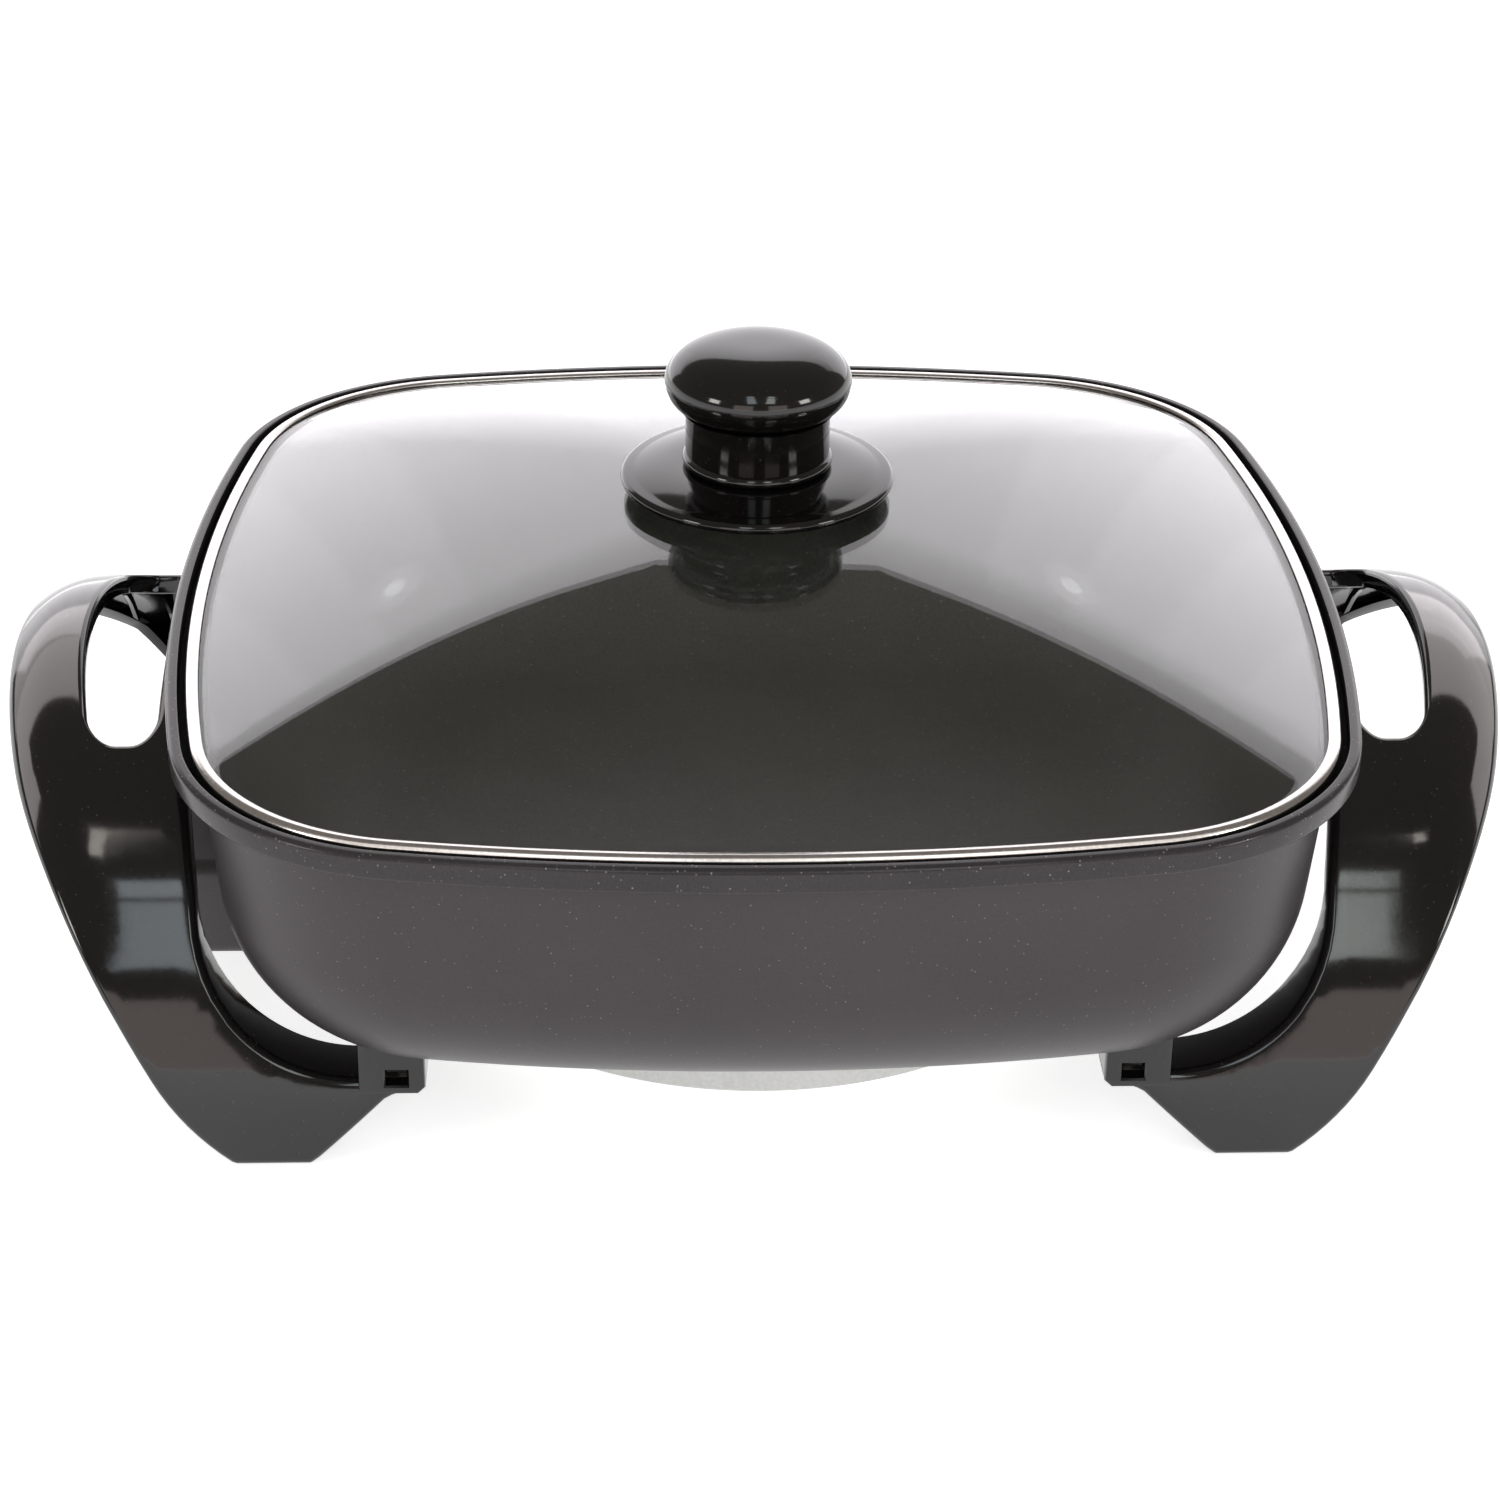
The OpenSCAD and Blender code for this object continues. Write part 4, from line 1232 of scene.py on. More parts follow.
    def tabs(self, pan: Pan) -> bpy.types.Object:
        """Builds the two blocks between the toes and the round of the pan's corners.

        Args:
            pan: pan that they fit under.

        Returns:
            Both blocks as one object.
        """
        sketch = Sketch()
        x0, x1, y0, y1, z0, edge = self.tab
        seat = pan.seat_r
        ring_r = self.plan.corner_r + pan.bend_c
        corner = self.plan.corner_c

        def under(x: float, y: float) -> float:
            """Height of the pan's underside over a point, less the gap."""
            out = max(math.hypot(x - corner, y - corner) - ring_r, 0.0)
            return pan.bend_z - math.sqrt(seat ** 2 - min(out, seat - 1) ** 2)

        nx, ny = 10, 12
        # the front edges are bevelled: the last rows are drawn in
        rows_at = [(y0 + (y1 - edge - y0) * j / ny, 0.0) for j in range(ny + 1)]
        rows_at += [(y1 - edge * 0.3, edge * 0.3), (y1, edge)]
        for sign in (-1, 1):
            rows = []
            for y, g in rows_at:
                xs = [x0 + g + (x1 - x0 - 2 * g) * k / nx for k in range(nx + 1)]
                top = [(x, sign * y, under(x, y) - 0.5 * g) for x in xs]
                low = [(x1 - g, sign * y, z0 + g + edge), (x1 - g - edge, sign * y, z0 + g),
                       (x0 + g + 2 * edge, sign * y, z0 + g),
                       (x0 + g, sign * y, z0 + g + 2 * edge)]
                rows.append(top + low)
            sketch.loft(rows)
        return sketch.make("tab_blocks", sharp=self.sharp)

    def counterbores(self) -> list[bpy.types.Object]:
        """Builds the cutting solids that sink the heads of the tab screws into both toes.

        Returns:
            The two solids.
        """
        tools = []
        cx, cy, cr, cz = self.counterbore
        for sign in (-1, 1):
            bore = Sketch()
            bore.lathe([(0, 2), (cr, 2), (cr, cz - 0.3), (cr - 0.3, cz), (0, cz)], steps=48,
                       at=(cx, sign * cy))
            tools.append(bore.make("counterbore"))
        return tools

    def pockets(self) -> list[bpy.types.Object]:
        """Builds the cutting solids of the pockets in the front faces of both tab blocks.

        Returns:
            The two solids.
        """
        tools = []
        x0, x1, z0, z1 = self.pocket
        steps = ((0.9, -4.0), (0.4, -3.9), (0.2, -3.0), (0.0, -0.5), (-0.6, 0.1), (-0.6, 1.0))
        for sign in (-1, 1):
            pocket = Sketch()
            rings = []
            for g, out in steps:
                y = sign * (self.tab.y1 + out)
                rings.append([(x0 + g, y, z0 + g), (x1 - g, y, z0 + g), (x1 - g, y, z1 - g),
                              (x0 + g, y, z1 - g)])
            pocket.loft(rings)
            tools.append(pocket.make("pocket"))
        return tools

    def make(self, side: Side, pan: Pan, material: bpy.types.Material) -> bpy.types.Object:
        """Builds one moulding.

        Args:
            side: which side it is for.
            pan: pan that its tabs fit under.
            material: its finish.

        Returns:
            The moulding.
        """
        sketch = self.shell()
        self.ribs(sketch)
        sketch.points = [self.rolled(point) for point in sketch.points]
        obj = sketch.make("side_bar_%s" % side.name.lower(), sharp=self.sharp)
        cut(obj, self.counterbores(), sharp=self.sharp)
        blocks = self.tabs(pan)
        cut(blocks, self.pockets(), sharp=self.sharp)
        join(obj, blocks)
        if side is Side.LEFT:
            mirror_x(obj)
            smooth(obj, self.sharp)
        node = "side_moulding_%s" % side.name.lower()
        return dress(obj, material, Body.SKILLET, "black_phenolic", node)


# ---------------------------------------------------------------- lid


@dataclass
class GlassLid:
    """Domed glass in a rolled steel ring."""

    plan: RimPlan
    ring_out: float = -5.1  # outer and inner edge of the ring, outwards from the rim
    ring_in: float = -8.7
    ring_z: float = 113.5
    ring_h: float = 5.1
    sheet: float = 0.7
    ring_round: float = 1.8
    glass_t: float = 3.2
    glass_out: float = -6.05  # edge of the glass, and where its flat border ends
    border: float = -8.95
    glass_z: float = 114.45
    dome_h: float = 30.0
    hole_r: float = 4.5
    rings: int = 56  # rings of faces from the hole to the border

    def dome(self, t: float) -> float:
        """Height over the flat border, t being 0 in the middle and 1 at the border."""
        return self.dome_h * (1 - t * t)

    def glass(self, material: bpy.types.Material) -> bpy.types.Object:
        """Builds the glass with a pencil edge and a bored hole.

        Args:
            material: its finish.

        Returns:
            The glass.
        """
        top: list[list[Point]] = []
        z1 = self.glass_z + self.glass_t
        base = self.plan.outline(self.border)
        for k in range(self.rings + 1):
            line = []
            for x, y in base:
                reach = math.hypot(x, y)
                r = self.hole_r + (reach - self.hole_r) * k / self.rings
                line.append((x * r / reach, y * r / reach, z1 + self.dome(r / reach)))
            top.append(line)
        low = [[(x, y, z - self.glass_t) for x, y, z in line] for line in reversed(top)]
        half = self.glass_t / 2
        section = arc((self.glass_out - half, self.glass_z + half), half, 84, -84, 8)
        edge = self.plan.carry(section)
        sketch = Sketch()
        sketch.loft(top + edge + low, closed=True)
        obj = sketch.make("lid_dome_glass", sharp=40)
        return dress(obj, material, Body.LID, "clear_glass", "lid_glass")

    def ring(self, material: bpy.types.Material) -> bpy.types.Object:
        """Builds the rolled ring, a C that closes round the edge of the glass.

        Args:
            material: its finish.

        Returns:
            The ring.
        """
        out, z, h, r, t = self.ring_out, self.ring_z, self.ring_h, self.ring_round, self.sheet
        inner = self.ring_in
        section = [(inner + 0.2, z), (inner + 1, z)]
        section += arc((out - r, z + r), r, -90, 0, 8)
        section += arc((out - r, z + h - r), r, 0, 90, 8)
        section += [(inner + 1, z + h - 0.08), (inner + 0.4, z + h - 0.22),
                    (inner + 0.1, z + h - 0.45), (inner, z + h - 0.62), (inner + 0.2, z + h - t),
                    (inner + 1, z + h - t), (out - t - 0.8, z + h - t),
                    (out - t, z + h - t - 0.8), (out - t, z + t + 0.8), (out - t - 0.8, z + t),
                    (inner + 1, z + t), (inner + 0.1, z + t), (inner, z + 0.35),
                    (inner + 0.05, z + 0.1)]
        sketch = Sketch()
        sketch.loft(self.plan.carry(section), closed=True)
        obj = sketch.make("lid_rolled_ring", sharp=40)
        return dress(obj, material, Body.LID, "stainless_steel", "lid_ring")


@dataclass
class LidKnob:
    """Turned-looking knob and the broad skirt that keeps the fingers off the glass."""

    skirt_z: float = 148.85
    skirt_d: float = 75.2
    skirt_t: float = 3.0  # thickness at the edge, and height at the hub
    skirt_h: float = 5.5
    skirt_n: int = 14
    hub_d: float = 36.0
    knob_d: float = 51.0
    cap_h: float = 19.5
    neck_d: float = 39.6
    knob_h: float = 35.5
    bead_r: float = 1.7
    edge_share: float = 0.42  # radius of the cap's lower edge as a share of its height
    crown_low: float = 0.6
    crown_power: float = 3.2  # power of the oval of the crown, 2 being an ellipse
    crown_n: int = 32
    bore_r: float = 2.75
    insert_r: float = 3.0
    mouth_r: float = 4.5  # radius of the bore's wide mouth, and its depth
    mouth_h: float = 1.5
    steps: int = 128  # flats all round

    def skirt(self, material: bpy.types.Material) -> bpy.types.Object:
        """Builds the skirt.

        Args:
            material: its finish.

        Returns:
            The skirt.
        """
        z, r, t = self.skirt_z, self.skirt_d / 2, self.skirt_t
        hub, top = self.hub_d / 2, z + self.skirt_h
        section = [(self.bore_r, z + t), (self.bore_r, z), (r - t, z)]
        section += arc((r - t / 2, z + t / 2), t / 2, -80, 80, 12)
        # the top falls away ever faster from the hub to the edge
        run, fall = r - t - hub - 1.0, self.skirt_h - t - 0.3
        section += [(hub + 1.0 + run * share, z + t + 0.05 + fall * (1 - share ** 2))
                    for share in (k / self.skirt_n for k in range(self.skirt_n, -1, -1))]
        section += [(hub - 0.2, top), (self.bore_r, top)]
        sketch = Sketch()
        sketch.lathe(section, steps=self.steps)
        obj = sketch.make("knob_skirt_disc", sharp=40)
        return dress(obj, material, Body.LID, "black_phenolic", "knob_skirt")

    def knob(self, material: bpy.types.Material) -> bpy.types.Object:
        """Builds the knob: bead, neck, and a cap with a low crown and a full round edge.

        Args:
            material: its finish.

        Returns:
            The knob.
        """
        base = self.skirt_z + self.skirt_h
        edge_r = self.cap_h * self.edge_share
        ex, ez = self.knob_d / 2 - edge_r, base + self.knob_h - self.cap_h + edge_r
        rise = self.cap_h - edge_r - self.crown_low
        neck = self.neck_d / 2
        bead = (neck - self.bead_r / 2, base + self.bead_r)
        section = [(self.insert_r, base + self.mouth_h + 0.5), (self.mouth_r, base + self.mouth_h),
                   (self.mouth_r, base), (neck - 1.6, base)]
        section += arc(bead, self.bead_r, -80, 62, 12)
        section += [(neck, base + 2 * self.bead_r + 0.3), (neck, ez - edge_r - 1.2)]
        section += [(neck + 0.3, ez - edge_r - 0.3), (neck + 1.2, ez - edge_r)]
        section += arc((ex, ez), edge_r, -88, 0, 14)
        # the upper half is a full oval, flat in the middle
        for k in range(1, self.crown_n + 1):
            turn = math.radians(min(90 * k / self.crown_n, 89.9))
            section.append((self.knob_d / 2 * math.cos(turn) ** (2 / self.crown_power),
                            ez + rise * math.sin(turn)))
        sketch = Sketch()
        sketch.lathe(section, steps=self.steps)
        obj = sketch.make("knob_cap", sharp=40)
        return dress(obj, material, Body.LID, "black_phenolic", "knob")


# ---------------------------------------------------------------- heater


@dataclass
class Heater:
    """Tubular element under the pan and the spun reflector below it."""

    ring_r: float = 80.0
    tube_d: float = 8.0
    leg_y: float = 13.0
    leg_bend: float = 14.0
    leg_end: float = -135.5
    z: float = 27.0  # height of the element's middle line
    reflector_r: float = 100.0
    reflector_z: float = 12.0
    step_z: float = 20.55  # height of the reflector's step, and its width
    step: float = 1.6
    top_z: float = 30.7
    sheet: float = 1.2
    notch_x: Flat = (-101.5, -85.0)  # the notch that lets the element's legs out
    notch_z: float = 22.0
    notch_r: float = 2.0
    notch_top: float = 45.0

    def line(self) -> list[Flat]:
        """Draws the middle line of the element in plan.

        Returns:
            Its x and y, from one end of its legs to the other.
        """
        span = self.ring_r + self.leg_bend
        off = self.leg_y + self.leg_bend
        bend_x = math.sqrt(span ** 2 - off ** 2)
        turn = math.degrees(math.atan2(off, bend_x))
        half = arc((0, 0), self.ring_r, 0, 180 - turn, 72)
        half += arc((-bend_x, off), self.leg_bend, -turn, -90, 16)[1:]
        half += [(self.leg_end + 12, self.leg_y), (self.leg_end, self.leg_y)]
        return [(x, -y) for x, y in reversed(half)][:-1] + half

    def element(self, material: bpy.types.Material) -> bpy.types.Object:
        """Builds the element as a round tube along its line.

        Args:
            material: its finish.

        Returns:
            The element.
        """
        line = self.line()
        rings = []
        for k, (x, y) in enumerate(line):
            before, after = line[max(k - 1, 0)], line[min(k + 1, len(line) - 1)]
            way = Vector((after[0] - before[0], after[1] - before[1])).normalized()
            r = self.tube_d / 2 - (0.5 if k in (0, len(line) - 1) else 0.0)
            rings.append([(x + way.y * off, y - way.x * off, self.z + up)
                          for off, up in arc((0, 0), r, 0, 360, 28)[:-1]])
        sketch = Sketch()
        sketch.loft(rings)
        obj = sketch.make("heater_tube", sharp=50)
        return dress(obj, material, Body.SKILLET, "element_sheath", "heating_element")

    def reflector(self, material: bpy.types.Material) -> bpy.types.Object:
        """Builds the reflector: a stepped dish with spun corners, notched for the legs.

        Args:
            material: its finish.

        Returns:
            The reflector.
        """
        r, step, t = self.reflector_r, self.step, self.sheet
        outside = [(0, self.reflector_z), (r - step, self.reflector_z),
                   (r - step, self.step_z), (r, self.step_z), (r, self.top_z)]
        inside_line = [(r - t, self.top_z), (r - t, self.step_z + t),
                       (r - step - t, self.step_z + t), (r - step - t, self.reflector_z + t),
                       (0, self.reflector_z + t)]
        section = soften(outside, {1: 1.6, 2: 0.5, 3: 0.8}, steps=6)
        section += soften(inside_line, {1: 0.4, 2: 0.8, 3: 0.9}, steps=6)
        sketch = Sketch()
        sketch.lathe(section, steps=144)
        obj = sketch.make("reflector_dish", sharp=40)
        notch = Sketch()
        y, corner = self.leg_y + self.tube_d, self.notch_r
        z = self.notch_z + corner
        shape = [(-y, self.notch_top)] + arc((corner - y, z), corner, 180, 270, 4)
        shape += arc((y - corner, z), corner, -90, 0, 4) + [(y, self.notch_top)]
        notch.loft([[(x, py, pz) for py, pz in shape] for x in self.notch_x])
        cut(obj, [notch.make("notch")], sharp=40)
        return dress(obj, material, Body.SKILLET, "sheet_aluminium", "reflector")


# ---------------------------------------------------------------- screws


@dataclass(frozen=True)
class Screw:
    """Pan-head screw with a cross recess, its head's seat at the origin and its shank along +Z."""

    thread: float
    length: float
    head_r: float = 0.9  # radius and height of the head, in diameters of the thread
    head_h: float = 0.52

    def model(self) -> bpy.types.Object:
        """Builds the screw at the origin.

        Returns:
            The screw.
        """
        r = self.thread * self.head_r
        t = self.thread * self.head_h
        section = [(0, -t), (r * 0.5, -t + 0.04), (r * 0.78, -t + 0.2 * t), (r * 0.95, -t + 0.5 * t),
                   (r, -0.15 * t), (r - 0.1, 0), (self.thread / 2, 0),
                   (self.thread / 2, self.length - 0.8), (self.thread / 2 - 0.7, self.length),
                   (0, self.length)]
        sketch = Sketch()
        sketch.lathe(section, steps=48)
        obj = sketch.make("screw", sharp=30)
        tools = []
        wide, arm = self.thread * 0.16, self.thread * 0.46
        for x, y in ((arm, wide / 2), (wide / 2, arm)):
            slot = Sketch()
            rings = [[(-x * s, -y * s, z), (x * s, -y * s, z), (x * s, y * s, z), (-x * s, y * s, z)]
                     for s, z in ((1.0, -t - 0.5), (0.95, -t * 0.75), (0.6, -t * 0.35))]
            slot.loft(rings)
            tools.append(slot.make("recess"))
        cut(obj, tools, sharp=30)
        return obj


def screw_set(name: str, screw: Screw, places: list[Matrix], material: bpy.types.Material,
              body: Body, node: str) -> bpy.types.Object:
    """Builds a set of equal screws as one piece.

    Args:
        name: name of the piece.
        screw: the screw.
        places: where each one goes, in millimetres.
        material: its finish.
        body: body that they move with.
        node: CAD node that they stand for.

    Returns:
        The piece.
    """
    model = screw.model()
    whole = bmesh.new()
    for place in places:
        one = model.data.copy()
        metric = place.copy()
        metric.translation = metric.translation * MM
        one.transform(metric)
        whole.from_mesh(one)
        bpy.data.meshes.remove(one)
    mesh = bpy.data.meshes.new(name)
    whole.to_mesh(mesh)
    whole.free()
    bpy.data.objects.remove(model)
    obj = bpy.data.objects.new(name, mesh)
    bpy.context.scene.collection.objects.link(obj)
    smooth(obj, sharp=30)
    return dress(obj, material, body, "zinc_steel", node)


# ---------------------------------------------------------------- inlet


@dataclass
class InletGuard:
    """Moulded tunnel round the terminals, open at both ends, with a screwed flange each side."""

    x0: float = -181.0
    x1: float = -139.0
    width: float = 62.0
    z0: float = 15.0
    height: float = 30.0
    wall: float = 2.8
    corner: float = 4.0
    flange_x: Flat = (-143.8, -141.0)
    flange_y: float = 19.0

    def frame_loop(self, x: float, g: float) -> list[Point]:
        """Round-cornered loop across the tunnel.

        Args:
            x: where it lies along the tunnel.
            g: how far it is drawn in from the tunnel's outside.

        Returns:
            Its points.
        """
        y, z = self.width / 2 - g, self.height / 2 - g
        r = max(self.corner - g, 0.8)
        mid = self.z0 + self.height / 2
        out: list[Point] = []
        for sy, sz, start in ((1, 1, 0), (-1, 1, 90), (-1, -1, 180), (1, -1, 270)):
            out += [(x, py, pz) for py, pz in
                    arc((sy * (y - r), mid + sz * (z - r)), r, start, start + 90, 8)]
        return out

    def make(self, pan: Pan, material: bpy.types.Material) -> bpy.types.Object:
        """Builds the guard, cut to the round of the pan's bend.

        Args:
            pan: pan that it fits to.
            material: its finish.

        Returns:
            The guard.
        """
        sketch = Sketch()
        w = self.wall
        ring = [(self.x0 + 0.9, 0.0), (self.x0 + 0.25, 0.25), (self.x0, 0.9), (self.x0, w - 0.7),
                (self.x0 + 0.2, w - 0.2), (self.x0 + 0.7, w), (self.x1 - 0.3, w),
                (self.x1, w - 0.3), (self.x1, 0.3), (self.x1 - 0.3, 0.0)]
        sketch.loft([self.frame_loop(x, g) for x, g in ring], closed=True)
        for side in (-1, 1):
            y_out = side * (self.width / 2 - w + 0.4)
            low, high = self.z0 + w - 0.4, self.z0 + self.height - w + 0.4
            front, back = self.flange_x
            rings = []
            for x, g in ((front, 0.5), (front + 0.3, 0.1), (front + 0.6, 0.0), (back, 0.0)):
                y_in = side * (self.flange_y + g)
                rings.append([(x, y_in, low), (x, y_out, low), (x, y_out, high), (x, y_in, high)])
            sketch.loft(rings)
        obj = sketch.make("inlet_tunnel", sharp=38)
        roller = Sketch()
        centre_x = -pan.plan.half - pan.bend_c
        rings = []
        for y in range(-40, 41, 5):
            sag = pan.plan.side_r - math.sqrt(pan.plan.side_r ** 2 - y * y)
            rings.append([(x, float(y), z) for x, z in
                          arc((centre_x + sag, pan.bend_z), pan.seat_r, 0, 360, 120)[:-1]])
        roller.loft(rings)
        cut(obj, [roller.make("roller")], sharp=38)
        return dress(obj, material, Body.SKILLET, "guard_phenolic", "inlet_guard")


# ---------------------------------------------------------------- fixings


@dataclass
class Fixings:
    """Every set of screws: their sizes, and where their heads are seated."""

    reflector: Screw = Screw(4.0, 10.0)
    reflector_z: float = 11.2
    tab: Screw = Screw(5.0, 10.6)
    tab_z: float = 20.4
    guard: Screw = Screw(3.5, 12.8)
    guard_z: float = 37.2
    knob: Screw = Screw(5.0, 20.5)
    knob_z: float = 141.83

    def make(self, pan: Pan, inlet: InletGuard, zinc: bpy.types.Material) -> None:
        """Builds the screws.

        Args:
            pan: pan whose posts, bosses and lugs take them.
            inlet: guard on whose flanges its screws are seated.
            zinc: their finish.
        """
        places = [Matrix.Translation((x, y, self.reflector_z))
                  for x, y in arc((0, 0), pan.post_out, 0, 240, 2)]
        screw_set("reflector_screw_set", self.reflector, places, zinc, Body.SKILLET,
                  "reflector_screws")
        for side in Side:
            name = side.name.lower()
            x, y = pan.boss_at
            places = [Matrix.Translation((side.value * x, sy * y, self.tab_z)) for sy in (-1, 1)]
            screw_set("tab_screw_set_%s" % name, self.tab, places, zinc, Body.SKILLET,
                      "tab_screws_%s" % name)
        along = Matrix.Rotation(math.radians(90), 4, "Y")
        places = [Matrix.Translation((inlet.flange_x[0], sy * pan.lug.y, self.guard_z)) @ along
                  for sy in (-1, 1)]
        screw_set("guard_screw_set", self.guard, places, zinc, Body.SKILLET, "guard_screws")
        places = [Matrix.Translation((0, 0, self.knob_z))]
        screw_set("knob_fixing_screw", self.knob, places, zinc, Body.LID, "knob_screw")


# ---------------------------------------------------------------- carried-over CAD nodes


@dataclass
class CadFinishes:
    """Finishes of the small CAD nodes that show as they are."""

    by_node: dict[str, Finish] = field(default_factory=lambda: {
        "terminal_plate": ZINC, "terminal_pin_front": NICKEL, "terminal_pin_rear": NICKEL,
        "terminal_bush_front": STEATITE, "terminal_bush_rear": STEATITE, "sensor_tube": NICKEL,
        "tab_washers_left": ZINC, "tab_washers_right": ZINC, "reflector_washers": ZINC,
        "knob_seal": RUBBER, "glass_washer": RUBBER, "screw_washer": ZINC,
        "knob_insert": BRASS})

    def dress(self, made: dict[str, bpy.types.Material]) -> None:
        """Gives each node its material.

        Args:
            made: materials by the name of their finish.
        """
        for name, finish in self.by_node.items():
            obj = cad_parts[name]
            for place in obj.material_slots:
                place.material = made[finish.name]
            LOG.info("%s: CAD node, %s", name, finish.name)


# ---------------------------------------------------------------- studio


class Glow(Enum):
    """Colours of the lamps' faces."""

    PANEL = "#fbf9fd"
    GRIP = "#fff6f7"
    STRIP = "#fffaf2"
    SOFT = "#fffcf8"
    SKY_LEFT = "#dfeaf0"
    SKY_RIGHT = "#e4ece8"
    WALL = "#ffeeea"
    PLAIN = "#ffffff"


@dataclass(frozen=True)
class Lamp:
    """Softbox that the camera doesn't see, its places and sizes in millimetres.

    Its radiance is the brightness of its face along its axis, 1 being white. With a spread under
    180 degrees the face is dimmer seen from the side, as with the grid of a real softbox. Where no
    aim is given, it points along y.
    """

    name: str
    at: Point
    size: Flat
    radiance: float
    glow: Glow = Glow.PLAIN
    turn: float = 0.0  # degrees about its axis
    spread: float = 180.0
    oval: bool = False
    only: tuple[str, ...] = ()
    aim: Point | None = None

    @property
    def peak(self) -> float:
        """How much brighter along its axis the spread makes the lamp.

        Returns:
            The factor, 1 for a plain lamp.
        """
        if self.spread >= 180.0:
            return 1.0
        half = math.radians(self.spread / 2)
        return math.tan(half) / (math.tan(half) - half)

    def place(self) -> None:
        """Adds the lamp to the scene."""
        lamp = bpy.data.lights.new(self.name, "AREA")
        lamp.shape = "ELLIPSE" if self.oval else "RECTANGLE"
        lamp.size, lamp.size_y = self.size[0] * MM, self.size[1] * MM
        lamp.spread = math.radians(self.spread)
        area = lamp.size * lamp.size_y * (math.pi / 4 if self.oval else 1.0)
        lamp.energy = self.radiance * math.pi * area / self.peak
        lamp.color = linear(self.glow.value)[:3]
        obj = bpy.data.objects.new(self.name, lamp)
        aim = self.aim or (self.at[0], 0, self.at[2])
        way = (Vector(aim) - Vector(self.at)).to_track_quat("-Z", "Y")
        spin = Quaternion((0.0, 0.0, 1.0), math.radians(self.turn))
        obj.rotation_euler = (way @ spin).to_euler()
        obj.location = Vector(self.at) * MM
        obj.visible_camera = False
        bpy.context.scene.collection.objects.link(obj)

    def flag(self) -> None:
        """Keeps the lamp off everything but the pieces that it is for, as a studio flag does."""
        if self.only:
            lit = bpy.data.collections.new(self.name)
            for name in self.only:
                lit.objects.link(bpy.data.objects[name])
            bpy.data.objects[self.name].light_linking.receiver_collection = lit


BARS = ("side_bar_left", "side_bar_right")
# A wide panel behind gives the glass its light upper part; it fades out in steps at its sides and
# has two small soft spots on it. Panels over and beside the grips light their skins, with a dimmer
# part below each, and strips in front light the legs. Two soft lamps at the sides are the lights
# on the knob. Windows and pale walls stand in front, and one large panel there lights the ring.
LAMPS = (
    Lamp("rear_panel", (0, 1300, 580), (3000, 1240), 2.25, Glow.PANEL, -8.5, spread=130.0),
    *(Lamp("rear_side_%d_%d" % (sign, step),
           (sign * (960 + 70 * step), 1296 - step, 560 + 40 * sign),
           (1080 - 140 * step, 860 + 80 * sign), 0.11, Glow.PANEL)
      for sign in (-1, 1) for step in range(5)),
    Lamp("rear_spot_left", (-515, 1290, 728), (34, 26), 0.6, oval=True, aim=(-120, 0, 130)),
    Lamp("rear_halo_left", (-515, 1292, 728), (90, 70), 0.16, oval=True, aim=(-120, 0, 130)),
    Lamp("rear_spot_right", (547, 1290, 744), (34, 26), 0.6, oval=True, aim=(120, 0, 130)),
    Lamp("rear_halo_right", (547, 1292, 744), (90, 70), 0.16, oval=True, aim=(120, 0, 130)),
    Lamp("grip_panel_left", (-920, 400, 775), (1480, 660), 2.6, Glow.GRIP, only=BARS),
    Lamp("grip_fade_left", (-655, 400, 350), (1000, 190), 1.8, Glow.GRIP, only=BARS),
    Lamp("grip_side_left", (-1660, 100, 775), (600, 660), 2.6, Glow.GRIP, only=BARS,
         aim=(0, 100, 775)),
    Lamp("grip_panel_right", (930, 400, 800), (1480, 840), 2.6, Glow.GRIP, only=BARS),
    Lamp("grip_fade_right", (695, 400, 300), (1000, 160), 2.2, Glow.GRIP, only=BARS),
    Lamp("grip_side_right", (1670, 100, 800), (600, 840), 2.6, Glow.GRIP, only=BARS,
         aim=(0, 100, 800)),
    Lamp("leg_strip_left", (-430, -600, 1210), (90, 460), 4.5, Glow.STRIP, only=BARS),
    Lamp("leg_fade_left", (-362, -600, 1230), (46, 420), 0.7, Glow.STRIP, only=BARS),
    Lamp("leg_strip_right", (494, -600, 1110), (80, 120), 4.5, Glow.STRIP, only=BARS),
    Lamp("side_left", (-1210, -810, 540), (330, 330), 8.0, Glow.SOFT, aim=(0, 0, 165)),
    Lamp("side_right", (1210, -810, 540), (330, 330), 8.0, Glow.SOFT, aim=(0, 0, 165)),
    Lamp("window_left", (-390, -1950, 1610), (400, 1040), 3.0, Glow.SKY_LEFT, 6.3),
    Lamp("window_left_top", (-480, -1950, 2420), (400, 420), 3.4, Glow.SKY_LEFT, 6.3),
    Lamp("window_right", (525, -1950, 1615), (400, 1030), 4.0, Glow.SKY_RIGHT, -8.0),
    Lamp("window_right_top", (640, -1950, 2420), (400, 420), 4.2, Glow.SKY_RIGHT, -8.0),
    Lamp("wall_left", (-925, -2500, 455), (1150, 920), 1.25, Glow.WALL),
    Lamp("wall_right", (1025, -2500, 455), (1150, 920), 1.25, Glow.WALL),
    Lamp("ring_front", (0, -1500, 800), (4200, 2600), 0.86, Glow.SOFT,
         only=("lid_rolled_ring",), aim=(0, 0, 120)),
)


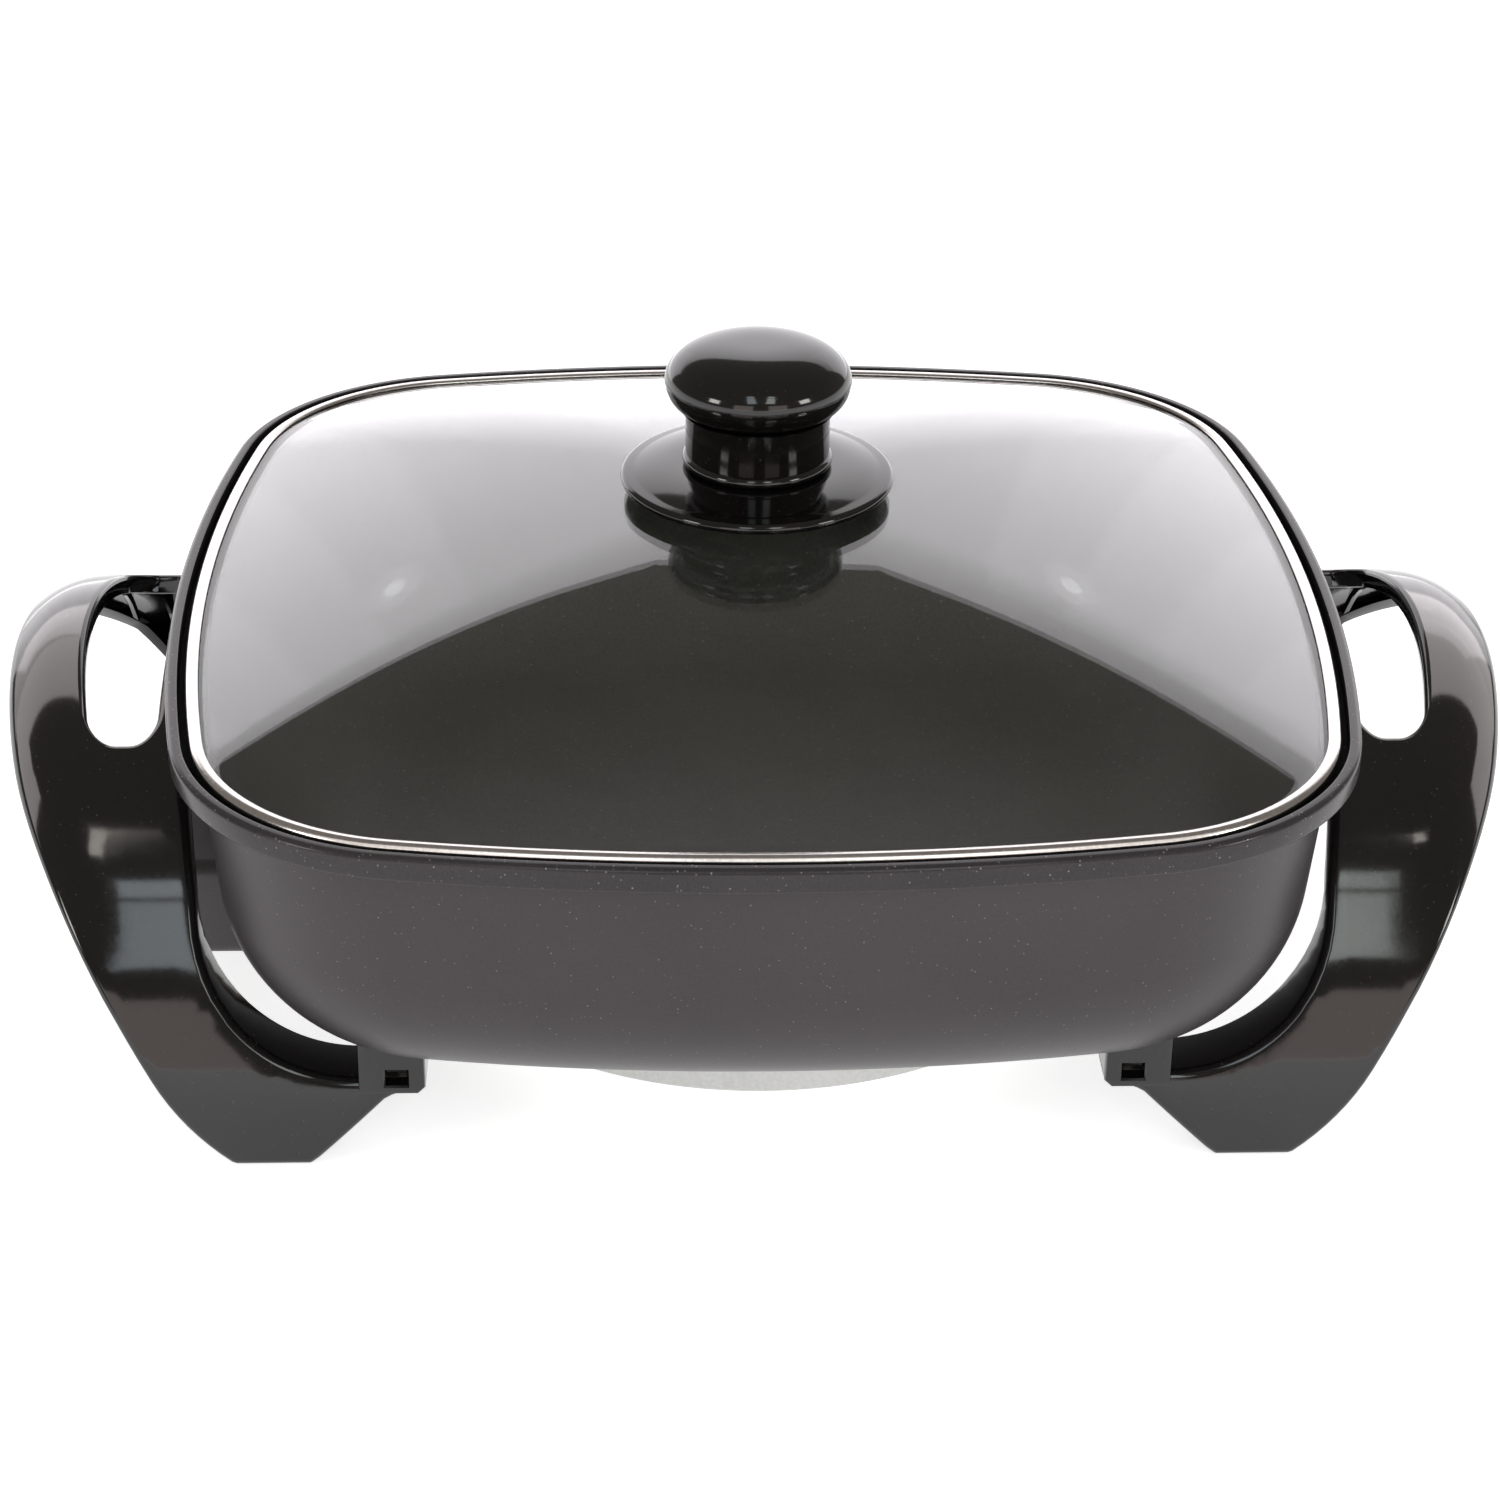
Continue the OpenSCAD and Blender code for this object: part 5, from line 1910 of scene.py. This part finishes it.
@dataclass
class Studio:
    """Camera, floor, world and lamps."""

    camera_at: Point = (-35.748, -880.0, 539.773)
    aim: Point = (-1.05, 0.0, 67.97)
    roll: float = 0.703  # degrees about the line of sight
    focal_px: float = 3483.7  # focal length, width of the image and row of the lens's middle
    image_px: float = 1500.0
    centre_v: float = 737.62
    sensor_mm: float = 36.0
    mirrored: str = "#7f7a76"  # grey of the room as glossy pieces mirror it
    fill: float = 0.5  # strength of the light from all round
    board_half: float = 6000.0
    board_z: float = -0.2
    board_cloud: float = 250.0
    board_glow: float = 0.7  # what the board gives off where it is looked at or mirrored

    def camera(self) -> None:
        """Places the camera: it looks down on the skillet from in front, a little from the left."""
        eye, aim = Vector(self.camera_at), Vector(self.aim)
        forward = (aim - eye).normalized()
        right = forward.cross(Vector((0, 0, 1))).normalized()
        up = right.cross(forward)
        turn = math.radians(self.roll)
        x_axis = right * math.cos(turn) + up * math.sin(turn)
        y_axis = up * math.cos(turn) - right * math.sin(turn)
        lens = bpy.data.cameras.new("camera")
        lens.sensor_width = self.sensor_mm
        lens.lens = self.focal_px * lens.sensor_width / self.image_px
        lens.shift_y = (self.centre_v - self.image_px / 2) / self.image_px
        lens.clip_start = 0.01
        obj = bpy.data.objects.new("camera", lens)
        grid = Matrix((x_axis, y_axis, -forward)).transposed().to_4x4()
        grid.translation = eye * MM
        obj.matrix_world = grid
        bpy.context.scene.collection.objects.link(obj)
        bpy.context.scene.camera = obj

    def world(self) -> None:
        """Makes the world white where it is looked at and dim where it lights the skillet."""
        world = bpy.data.worlds.new("studio")
        bpy.context.scene.world = world
        world.use_nodes = True
        tree = world.node_tree
        tree.nodes.clear()
        path = add_node(tree, "ShaderNodeLightPath")
        dim, fill, white = (
            add_node(tree, "ShaderNodeBackground", {"Color": colour, "Strength": 1.0})
            for colour in (linear(self.mirrored), grey(self.fill), grey(1.0)))
        room = add_node(tree, "ShaderNodeMixShader", links={0: path.outputs["Is Glossy Ray"],
                                                           1: fill.outputs[0], 2: dim.outputs[0]})
        seen = add_node(tree, "ShaderNodeMixShader", links={0: path.outputs["Is Camera Ray"],
                                                           1: room.outputs[0],
                                                           2: white.outputs[0]})
        add_node(tree, "ShaderNodeOutputWorld", links={0: seen.outputs[0]})

    def floor(self) -> None:
        """Lays the floor: matt white board that keeps the skillet's shadow."""
        sketch = Sketch()
        sketch.faces.append(tuple(sketch.ring(
            [(sx * self.board_half, sy * self.board_half, self.board_z)
             for sx, sy in ((-1, -1), (1, -1), (1, 1), (-1, 1))])))
        obj = sketch.make("floor_board")
        mat = bpy.data.materials.new("board_matt_white")
        mat.use_nodes = True
        tree = mat.node_tree
        shader = tree.nodes["Principled BSDF"]
        shader.inputs["Roughness"].default_value = 0.9
        shader.inputs["Specular IOR Level"].default_value = 0.0
        at = add_node(tree, "ShaderNodeTexCoord").outputs["Object"]
        noise = add_node(tree, "ShaderNodeTexNoise", {"Scale": per_mm(self.board_cloud)},
                         {"Vector": at})
        tone = add_node(tree, "ShaderNodeValToRGB", links={0: noise.outputs["Fac"]},
                        stops=((0.0, linear("#f3f3f3")), (1.0, linear("#f6f6f6"))))
        tree.links.new(tone.outputs["Color"], shader.inputs["Base Color"])
        path = add_node(tree, "ShaderNodeLightPath")
        seen = add_node(tree, "ShaderNodeMath", links={0: path.outputs["Is Camera Ray"],
                                                       1: path.outputs["Is Glossy Ray"]},
                        operation="MAXIMUM")
        glow = add_node(tree, "ShaderNodeMath", {1: self.board_glow}, {0: seen.outputs[0]},
                        operation="MULTIPLY")
        shader.inputs["Emission Color"].default_value = grey(1.0)
        tree.links.new(glow.outputs[0], shader.inputs["Emission Strength"])
        obj.data.materials.append(mat)

    def build(self) -> None:
        """Builds the studio."""
        self.camera()
        for lamp in LAMPS:
            lamp.place()
        self.world()
        self.floor()
        bpy.context.scene.view_settings.view_transform = "Standard"


# ---------------------------------------------------------------- the whole skillet


@dataclass
class Skillet:
    """The whole skillet, built from its sub-assemblies."""

    plan: RimPlan = field(default_factory=RimPlan)

    def materials(self) -> dict[str, bpy.types.Material]:
        """Builds every material once.

        Returns:
            The materials by the name of their finish.
        """
        finishes = (OUTER_COAT, RIM_COAT, LEDGE_PAINTED_SHADE, NONSTICK, GLOSS_PHENOLIC, SATIN_PHENOLIC, GLASS,
                    ROLLED_STEEL, SHEATH, SPUN_SHEET, ZINC, NICKEL, STEATITE, RUBBER, BRASS)
        return {finish.name: finish.material() for finish in finishes}

    def build(self) -> None:
        """Builds every piece in order."""
        made = self.materials()
        pan = Pan(self.plan)
        pan.make({PanCoat.OUTSIDE: made[OUTER_COAT.name], PanCoat.COOKING: made[NONSTICK.name],
                  PanCoat.RIM: made[RIM_COAT.name], PanCoat.UNDER_RING_SHADE: made[LEDGE_PAINTED_SHADE.name]})
        for side in Side:
            SideMoulding(self.plan).make(side, pan, made[GLOSS_PHENOLIC.name])
        lid = GlassLid(self.plan)
        lid.glass(made[GLASS.name])
        lid.ring(made[ROLLED_STEEL.name])
        knob = LidKnob()
        knob.skirt(made[GLOSS_PHENOLIC.name])
        knob.knob(made[GLOSS_PHENOLIC.name])
        heater = Heater()
        heater.element(made[SHEATH.name])
        heater.reflector(made[SPUN_SHEET.name])
        inlet = InletGuard()
        inlet.make(pan, made[SATIN_PHENOLIC.name])
        Fixings().make(pan, inlet, made[ZINC.name])
        CadFinishes().dress(made)


def main() -> None:
    logging.basicConfig(level=logging.INFO, format="%(name)s: %(message)s")
    Studio().build()
    Skillet().build()
    for lamp in LAMPS:
        lamp.flag()


if __name__ == "__main__":
    main()
